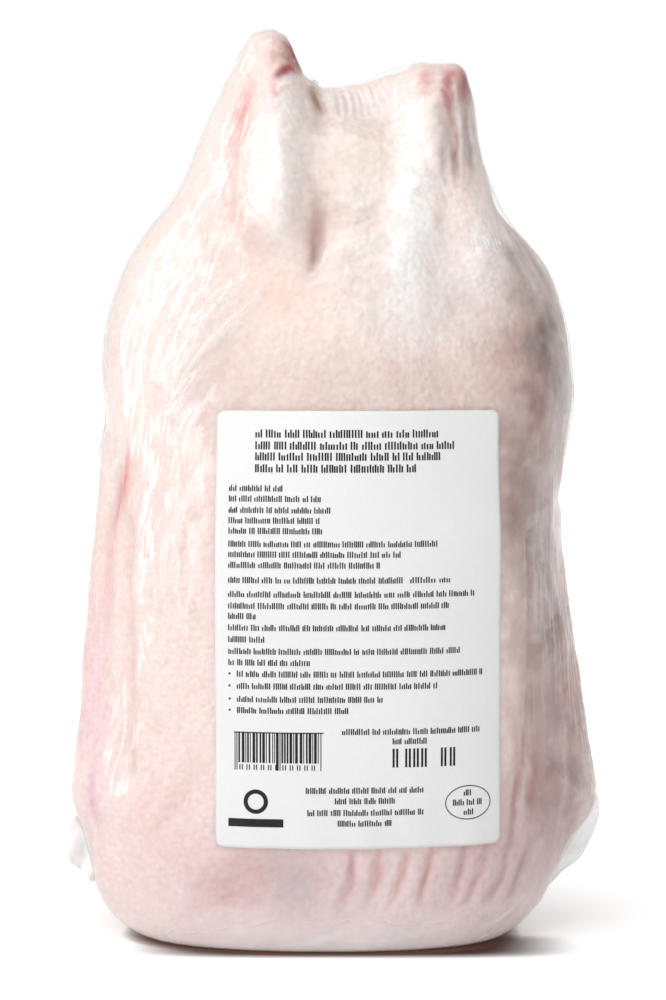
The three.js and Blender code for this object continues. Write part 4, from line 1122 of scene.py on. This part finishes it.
def onLabel(across, up, lift):
    # label place (across, up) in millimetres of paper to a point of the duck's frame, lifted off the bag
    z = np.interp(up, arcUp, walkZ)
    grid = frontAt(walkX[None, :] + 0 * z.reshape(-1, 1), z.reshape(-1, 1) + 0 * walkX[None, :])
    steps = np.hypot(np.diff(walkX)[None, :], np.diff(grid, axis=1))
    arc = np.concatenate([np.zeros((len(grid), 1)), np.cumsum(steps, 1)], 1)
    arc -= arc[:, [len(walkX) // 2]]
    flatAcross = across.reshape(-1)
    place = (arc < flatAcross[:, None]).sum(1).clip(1, len(walkX) - 1)
    index = np.arange(len(grid))
    a0, a1 = arc[index, place - 1], arc[index, place]
    t = (flatAcross - a0) / (a1 - a0)
    x = walkX[place - 1] * (1 - t) + walkX[place] * t
    y = grid[index, place - 1] * (1 - t) + grid[index, place] * t
    slope = (grid[index, place] - grid[index, place - 1]) / (walkX[1] - walkX[0])
    normal = np.stack([slope, -np.ones_like(slope), 0 * slope], -1) / np.sqrt(1 + slope ** 2)[:, None]
    points = np.stack([x, y, z.reshape(-1)], -1) + normal * np.reshape(lift, (-1, 1))
    return points.reshape(across.shape + (3,))


def paperWave(across, up):
    # three sine ripples, one of them only low down
    low = smoothStep(-40, -75, up)
    wave = labelForm["ripple"] * np.sin(across / 9 + up / 23)
    wave = wave + labelForm["lowRipple"] * low * np.sin(across / 3.1 + 1.3)
    return wave + labelForm["bow"] * np.sin(up / 11 - across / 31)


halfWide, halfTall, corner = labelForm["width"] / 2, labelForm["height"] / 2, labelForm["corner"]
across, up = np.meshgrid(np.linspace(-1, 1, labelForm["columns"]) * halfWide,
                         np.linspace(-1, 1, labelForm["rows"]) * halfTall)
# round corners: the square at each corner is squeezed into a quarter disc, u * sqrt(1 - v^2 / 2)
u = np.clip((np.abs(across) - halfWide + corner) / corner, 0, 1)
v = np.clip((np.abs(up) - halfTall + corner) / corner, 0, 1)
inCorner = (u > 0) & (v > 0)
roundAcross = np.sign(across) * (halfWide - corner + corner * u * np.sqrt(1 - v * v / 2))
roundUp = np.sign(up) * (halfTall - corner + corner * v * np.sqrt(1 - u * u / 2))
across, up = np.where(inCorner, roundAcross, across), np.where(inCorner, roundUp, up)
base = labelForm["clearance"] + paperWave(across, up)
topSide = onLabel(across, up, base + labelForm["thickness"])
underSide = onLabel(across, up, base)


def plate(top, under):
    # two grids joined round the rim to one closed plate; top faces forwards
    rows, columns = top.shape[:2]
    count = rows * columns
    quads = gridFaces(rows, columns, False)
    rim = np.concatenate([np.arange(columns), np.arange(1, rows) * columns + columns - 1,
                          (rows - 1) * columns + np.arange(columns - 2, -1, -1),
                          np.arange(rows - 2, 0, -1) * columns])
    following = np.roll(rim, -1)
    sides = np.stack([rim, rim + count, following + count, following], -1)
    vertices = np.concatenate([top.reshape(-1, 3), under.reshape(-1, 3)])
    return vertices, quads.tolist() + (quads[:, ::-1] + count).tolist() + sides.tolist()


vertices, faces = plate(topSide + toFrame, underSide + toFrame)
labelPiece = meshPiece("paperLabel", vertices, faces, paperMaterial)
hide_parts("label")

# marks printed on the label, as (left, bottom, width, height) in millimetres from the label's middle.
# the words are rows of plain ticks, the code is random bars, and the seal and the badge are bare rings
printForm = {
    "lift": 0.05, "rootLift": 0.005, "longest": 2.5,
    # left, right, middle height, tick height, tick width, tick pitch
    "headings": [(-36.8, 27.5, 68.2, 2.8, 0.6, 0.92), (-36.8, 34, 64.1, 2.8, 0.6, 0.92),
                 (-36.8, 29, 60.3, 2.8, 0.6, 0.92), (-36.8, 19.6, 56.2, 2.8, 0.6, 0.92)],
    # left, right, middle height
    "lines": [(-46, -26.5, 49.3), (-46, -13.5, 45.7), (-46, -10, 41.8), (-46, -14, 38.2), (-46, -13, 34.6),
              (-46, 27, 30.1), (-46, 14, 26.5), (-46, 7, 22.8), (-46, 15, 17.6),
              (-46, 41, 12.7), (-46, 31, 8.7), (-46, -35.7, 5.1), (-46, 30, 1.1), (-46, -33, -3),
              (-46, 35, -7.1), (-46, -17, -11), (-43, 43.5, -15), (-43, 26.8, -19.2), (-43, 8.2, -23.8),
              (-43, -4.2, -27.7), (-6.5, 43, -35), (11, 23.6, -38.4), (-19, 22.5, -55.5), (-9, 12, -59.2),
              (-18.5, 22, -63.3), (-8, 11, -67.1),
              (36.4, 39.6, -57.3), (32.5, 43.5, -60.7), (36.4, 40, -64.1)],
    # height, width, pitch
    "lineTick": (2.15, 0.46, 0.72),
    "boldEnd": (17, 32, 17.6, 2.1, 0.5, 0.86),
    "bullets": [(-45.6, -15), (-45.6, -19.2), (-45.6, -23.8), (-45.6, -27.7)], "bullet": 0.7,
    # bars of random widths and gaps; the first, middle and last ones are longer by the guard
    "code": {"left": -43.9, "right": -13.2, "bottom": -48.6, "top": -35.4, "guard": 2.6,
             "longBars": (0, 1, 15, 16), "lastBars": 1.6, "widths": [0.33, 0.33, 0.62, 0.95],
             "gaps": [0.3, 0.34, 0.6], "digits": 11, "digitTick": (0.4, 1.9), "digitPair": 0.85},
    # pairs of strokes for a large number: lefts, width, step to the second one, bottom and height
    "weight": [11, 15.4, 18.2, 21.0, 28.0, 31.2], "weightStroke": 0.75, "weightPair": 1.25,
    "weightRow": (-47.6, 6.6),
    "seal": {"centre": (38.2, -60.8), "radii": (8.5, 6.1), "line": 0.35},
    "badge": {"centre": (-36.4, -59.6), "radii": (4.3, 4.3), "line": 1.5},
    "badgeBar": (-46.2, -68.6, 19.4, 2.9),
}


def tickRow(left, right, middle, height, width, pitch, rng):
    # words of 3 to 13 ticks with a gap between; the ticks are a little uneven in height and pitch
    marks, place = [], left
    while place < right - width:
        for _ in range(int(rng.integers(3, 14))):
            if place > right - width:
                break
            tall = height * rng.choice([1.0, 1.0, 0.82, 0.66])
            marks.append((place, middle - height / 2, width, tall))
            place += pitch * rng.uniform(0.85, 1.2)
        place += pitch * 1.1
    return marks


def printMarks():
    # every mark of the label as a rectangle
    rng = np.random.default_rng(77)
    marks = []
    for row in printForm["headings"] + [printForm["boldEnd"]]:
        marks += tickRow(*row, rng)
    for left, right, middle in printForm["lines"]:
        marks += tickRow(left, right, middle, *printForm["lineTick"], rng)
    bullet = printForm["bullet"]
    marks += [(x - bullet / 2, y - bullet / 2, bullet, bullet) for x, y in printForm["bullets"]]
    code = printForm["code"]
    place, bar = code["left"], 0
    while place < code["right"]:
        width = rng.choice(code["widths"])
        long = bar in code["longBars"] or place > code["right"] - code["lastBars"]
        lowEnd = code["bottom"] + (0 if long else code["guard"])
        marks.append((place, lowEnd, width, code["top"] - lowEnd))
        place += width + rng.choice(code["gaps"])
        bar += 1
    marks.append((code["left"] - 0.2, code["top"] - 0.25, code["right"] - code["left"] + 0.6, 0.4))
    gap = (code["right"] - code["left"] - 3) / code["digits"]
    marks += [(code["left"] + 1.7 + gap * i + step, code["bottom"] + 0.1, *code["digitTick"])
              for i in range(code["digits"]) for step in (0, code["digitPair"])]
    low, tall = printForm["weightRow"]
    marks += [(x + step, low, printForm["weightStroke"], tall)
              for x in printForm["weight"] for step in (0, printForm["weightPair"])]
    marks.append(printForm["badgeBar"])
    return marks


def printQuads():
    # every mark as quads no longer than a few millimetres, so that they bend with the paper
    quads = []
    for left, low, width, height in printMarks():
        wide, tall = (max(1, int(np.ceil(size / printForm["longest"]))) for size in (width, height))
        xs, ys = np.linspace(left, left + width, wide + 1), np.linspace(low, low + height, tall + 1)
        quads += [[(xs[i], ys[j]), (xs[i + 1], ys[j]), (xs[i + 1], ys[j + 1]), (xs[i], ys[j + 1])]
                  for i in range(wide) for j in range(tall)]
    for ring in (printForm["seal"], printForm["badge"]):
        turn = np.linspace(0, 2 * pi, 49)
        centre, radii = np.array(ring["centre"]), np.array(ring["radii"])
        way = np.stack([np.cos(turn), np.sin(turn)], -1)
        outer, inner = centre + way * radii, centre + way * (radii - ring["line"])
        quads += [[inner[i], outer[i], outer[i + 1], inner[i + 1]] for i in range(48)]
    return np.array(quads, float)


print("print")
quads = printQuads()
flat = quads.reshape(-1, 2)
paperTop = labelForm["clearance"] + labelForm["thickness"] + paperWave(flat[:, 0], flat[:, 1])
printTop = onLabel(flat[:, 0], flat[:, 1], paperTop + printForm["lift"]).reshape(-1, 4, 3)
printUnder = onLabel(flat[:, 0], flat[:, 1], paperTop + printForm["rootLift"]).reshape(-1, 4, 3)
vertices = np.concatenate([printTop, printUnder], 1).reshape(-1, 3) + toFrame
box = np.array([[0, 1, 2, 3], [7, 6, 5, 4], [0, 4, 5, 1], [1, 5, 6, 2], [2, 6, 7, 3], [3, 7, 4, 0]])
faces = (np.arange(len(quads))[:, None, None] * 8 + box[None]).reshape(-1, 4)
labelPrint = meshPiece("labelPrint", vertices, faces, inkMaterial, smooth=False)


# free corners of the bag: root line and tip curve (both x, z), place along y, seed of its crumple
cornerForm = {
    "left": {"root": [(-84, 50), (-78, 12)],
             "tip": [(-87, 49), (-94, 43), (-96.8, 37), (-97, 31), (-94.5, 25), (-89, 20.5), (-80, 16)],
             "y": -8, "milk": 0.85, "seed": 61},
    "right": {"root": [(86, 58), (78, 14)],
              "tip": [(91, 57), (97.6, 52), (98.4, 45), (96.8, 37), (93, 30), (88, 25), (80, 18)],
              "y": -8, "milk": 0.6, "seed": 66},
}
cornerSheet = {
    "thickness": 0.3, "rows": 60, "columns": 24,
    # crumple that grows towards the tip: wavelength, height
    "crumple": [(9, 2.2), (3.6, 0.6)],
}


def bagCorner(form):
    # straight blend from the root line to a smooth curve through the tip points, pushed to and fro along y
    u = np.linspace(0, 1, cornerSheet["rows"])
    root = np.array(form["root"], float)
    rootLine = root[0] + u[:, None] * (root[1] - root[0])
    tipLine = smoothLine(form["tip"], cornerSheet["rows"])
    v = np.linspace(0, 1, cornerSheet["columns"])[None, :, None]
    flat = rootLine[:, None] * (1 - v) + tipLine[:, None] * v
    points = np.stack([flat[..., 0], np.full(flat.shape[:2], float(form["y"])), flat[..., 1]], -1)
    push = sum(height * waves(points, wavelength, form["seed"] + index, 8)
               for index, (wavelength, height) in enumerate(cornerSheet["crumple"]))
    points[..., 1] += v[..., 0] * push
    slab = np.array([0, cornerSheet["thickness"] / 2, 0])
    return (points - slab, points + slab) if form["root"][0][0] > 0 else (points + slab, points - slab)


print("bag corners")
for side, form in cornerForm.items():
    top, under = bagCorner(form)
    vertices, faces = plate(top + toFrame, under + toFrame)
    foldedFilm = makeFilm(side + "FoldedFilm", False, form["milk"])
    corner = meshPiece(side + "BagCorner", vertices, faces, foldedFilm)


# white table, soft light and camera
studio = {
    # the table glows less near the duck; its glow is drawn out behind it
    "floor": "#ffffff", "glowNear": 0.24, "glowFar": 0.9, "glowFrom": 0.1, "glowTo": 0.7,
    "glowShift": (0, 0.1, 0), "glowScale": (1, 2.2, 1),
    "shadowTint": "#6f5046", "shadowReach": 0.004,
    "shadeTint": "#46352f", "shadeAt": (0.006, -0.024, 0), "shadeRadii": (0.0725, 0.0175, 1),
    "shadeFrom": 0.45, "shadeTo": 1.4,
    # light of the surroundings: brightest side, least and most, and where it fades from one to the other
    "world": {"direction": (-0.6, 0.4, 0.65), "low": 0.1, "high": 0.6, "start": -0.9, "end": 0.7},
    "gloss": {"direction": (-0.3, 0.94, 0.1), "low": 0.35, "high": 1.0, "start": -0.3, "end": 0.6},
    "seenWhite": 1.05, "tableReach": 4,
    "key": {"at": (-1.05, -0.7, 0.5), "aim": (0, 0, 0.17), "size": (0.4, 1.0), "power": 3.6},
    "top": {"at": (-0.1, -0.75, 1.15), "aim": (0, 0, 0.2), "size": (1.1, 0.7), "power": 6.8},
    "fill": {"at": (0.2, -1.35, 0.25), "aim": (0, 0, 0.15), "size": (0.9, 0.9), "power": 1.7},
    "strip": {"at": (-1.0, -0.12, 0.48), "aim": (0, 0, 0.18), "size": (0.16, 1.1), "power": 5.0},
    "shine": {"at": (-1.05, -0.75, 0.6), "aim": (0, 0, 0.2), "size": (0.34, 1.1), "power": 6.0},
    "distance": 0.9, "elevation": 3.5, "targetHeight": 0.1587, "frameHeight": 0.3645,
}


def softLight(name, at, aim, size, power):
    # a rectangular lamp that looks at a point
    lamp = bpy.data.lights.new(name, "AREA")
    lamp.shape, lamp.size, lamp.size_y, lamp.energy = "RECTANGLE", size[0], size[1], power
    light = bpy.data.objects.new(name, lamp)
    light.location = at
    light.rotation_euler = (Vector(aim) - Vector(at)).to_track_quat("-Z", "Y").to_euler()
    bpy.context.scene.collection.objects.link(light)
    return light


print("studio")
scene = bpy.context.scene
floorMaterial = newMaterial("whiteTable")
floorPlace = addNode(floorMaterial, "ShaderNodeTexCoord")
floorSpread = addNode(floorMaterial, "ShaderNodeMapping", {
    "Location": studio["glowShift"], "Scale": studio["glowScale"],
}, {"Vector": (floorPlace, "Object")})
floorAway = addNode(floorMaterial, "ShaderNodeVectorMath", {"operation": "LENGTH"},
                    {0: (floorSpread, "Vector")})
floorRise = addNode(floorMaterial, "ShaderNodeMapRange", {
    "interpolation_type": "SMOOTHSTEP", "From Min": studio["glowFrom"], "From Max": studio["glowTo"],
    "To Min": studio["glowNear"], "To Max": studio["glowFar"],
}, {"Value": (floorAway, "Value")})
# where the bird shuts out the light close to the table the white turns brown
floorOpen = addNode(floorMaterial, "ShaderNodeAmbientOcclusion", {
    "samples": 16, "Distance": studio["shadowReach"],
})
# and a soft brown shade lies round its foot, sqrt(x^4 + y^4) over the radii, a square oval
shadeShift = addNode(floorMaterial, "ShaderNodeVectorMath", {"operation": "SUBTRACT", 1: studio["shadeAt"]},
                     {0: (floorPlace, "Object")})
shadeOval = addNode(floorMaterial, "ShaderNodeVectorMath", {"operation": "DIVIDE", 1: studio["shadeRadii"]},
                    {0: (shadeShift, "Vector")})
shadeSquare = addNode(floorMaterial, "ShaderNodeVectorMath", {"operation": "MULTIPLY"},
                      {0: (shadeOval, "Vector"), 1: (shadeOval, "Vector")})
shadeAway = addNode(floorMaterial, "ShaderNodeVectorMath", {"operation": "LENGTH"},
                    {0: (shadeSquare, "Vector")})
shadeRise = addNode(floorMaterial, "ShaderNodeMapRange", {
    "interpolation_type": "SMOOTHSTEP", "From Min": studio["shadeFrom"], "From Max": studio["shadeTo"],
}, {"Value": (shadeAway, "Value")})
floorShade = addBlend(floorMaterial, (shadeRise, "Result"), studio["shadeTint"], studio["floor"])
floorTint = addNode(floorMaterial, "ShaderNodeMix", {
    "data_type": "RGBA", 6: hexRgba(studio["shadowTint"]),
}, {0: (floorOpen, "AO"), 7: (floorShade, 2)})
floorDiffuse = addNode(floorMaterial, "ShaderNodeBsdfDiffuse", {}, {"Color": (floorTint, 2)})
floorGlow = addNode(floorMaterial, "ShaderNodeEmission", {},
                    {"Color": (floorTint, 2), "Strength": (floorRise, "Result")})
floorSeen = addNode(floorMaterial, "ShaderNodeAddShader", {},
                    {0: (floorDiffuse, "BSDF"), 1: (floorGlow, "Emission")})
# the light that it throws back on the bird is that of plain white
floorBounce = addNode(floorMaterial, "ShaderNodeBsdfDiffuse", {"Color": hexRgba(studio["floor"])})
floorRay = addNode(floorMaterial, "ShaderNodeLightPath")
floorBoth = addNode(floorMaterial, "ShaderNodeMixShader", {},
                    {0: (floorRay, "Is Diffuse Ray"), 1: (floorSeen, "Shader"), 2: (floorBounce, "BSDF")})
addNode(floorMaterial, "ShaderNodeOutputMaterial", {}, {"Surface": (floorBoth, "Shader")})
floorMesh = bpy.data.meshes.new("table")
wide = studio["tableReach"]
floorCorners = [(-wide, -wide, 0), (wide, -wide, 0), (wide, wide, 0), (-wide, wide, 0)]
floorMesh.from_pydata(floorCorners, [], [(0, 1, 2, 3)])
floorMesh.materials.append(floorMaterial)
floor = bpy.data.objects.new("table", floorMesh)
scene.collection.objects.link(floor)

for name in ("key", "top", "fill", "strip", "shine"):
    light = softLight(name + "Light", **studio[name])
    light.visible_diffuse = name not in ("strip", "shine")      # these two only show as a shine on the film
    light.visible_glossy = name != "key"

world = bpy.data.worlds.new("studioWhite")
scene.world = world
world.use_nodes = True
world.node_tree.nodes.clear()
way = addNode(world, "ShaderNodeTexCoord")


def skyFrom(direction, low, high, start, end):
    # light of the surroundings, brightest from one direction
    aim = np.array(direction) / np.linalg.norm(direction)
    towards = addNode(world, "ShaderNodeVectorMath", {"operation": "DOT_PRODUCT", 1: tuple(aim)},
                      {0: (way, "Generated")})
    glow = addNode(world, "ShaderNodeMapRange", {
        "interpolation_type": "SMOOTHSTEP", "From Min": start, "From Max": end, "To Min": low, "To Max": high,
    }, {"Value": (towards, "Value")})
    return addNode(world, "ShaderNodeBackground", {"Color": (1, 1, 1, 1)}, {"Strength": (glow, "Result")})


lightSky, glossSky = skyFrom(**studio["world"]), skyFrom(**studio["gloss"])
seenSky = addNode(world, "ShaderNodeBackground", {"Color": (1, 1, 1, 1), "Strength": studio["seenWhite"]})
ray = addNode(world, "ShaderNodeLightPath")
unseen = addNode(world, "ShaderNodeMixShader", {},
                 {0: (ray, "Is Glossy Ray"), 1: (lightSky, "Background"), 2: (glossSky, "Background")})
sky = addNode(world, "ShaderNodeMixShader", {},
              {0: (ray, "Is Camera Ray"), 1: (unseen, "Shader"), 2: (seenSky, "Background")})
addNode(world, "ShaderNodeOutputWorld", {}, {"Surface": (sky, "Shader")})
scene.view_settings.view_transform = "Standard"

camera = bpy.data.objects.new("camera", bpy.data.cameras.new("camera"))
tilt = radians(studio["elevation"])
target = Vector((0, 0, studio["targetHeight"]))
back = Vector((0, -np.cos(tilt), np.sin(tilt)))
camera.location = target + back * studio["distance"]
camera.rotation_euler = (-back).to_track_quat("-Z", "Y").to_euler()
camera.data.sensor_width = 36.0                       # along the long side of the frame, its height
camera.data.lens = camera.data.sensor_width * studio["distance"] / studio["frameHeight"]
camera.data.clip_start, camera.data.clip_end = 0.05, 20.0
scene.collection.objects.link(camera)
scene.camera = camera
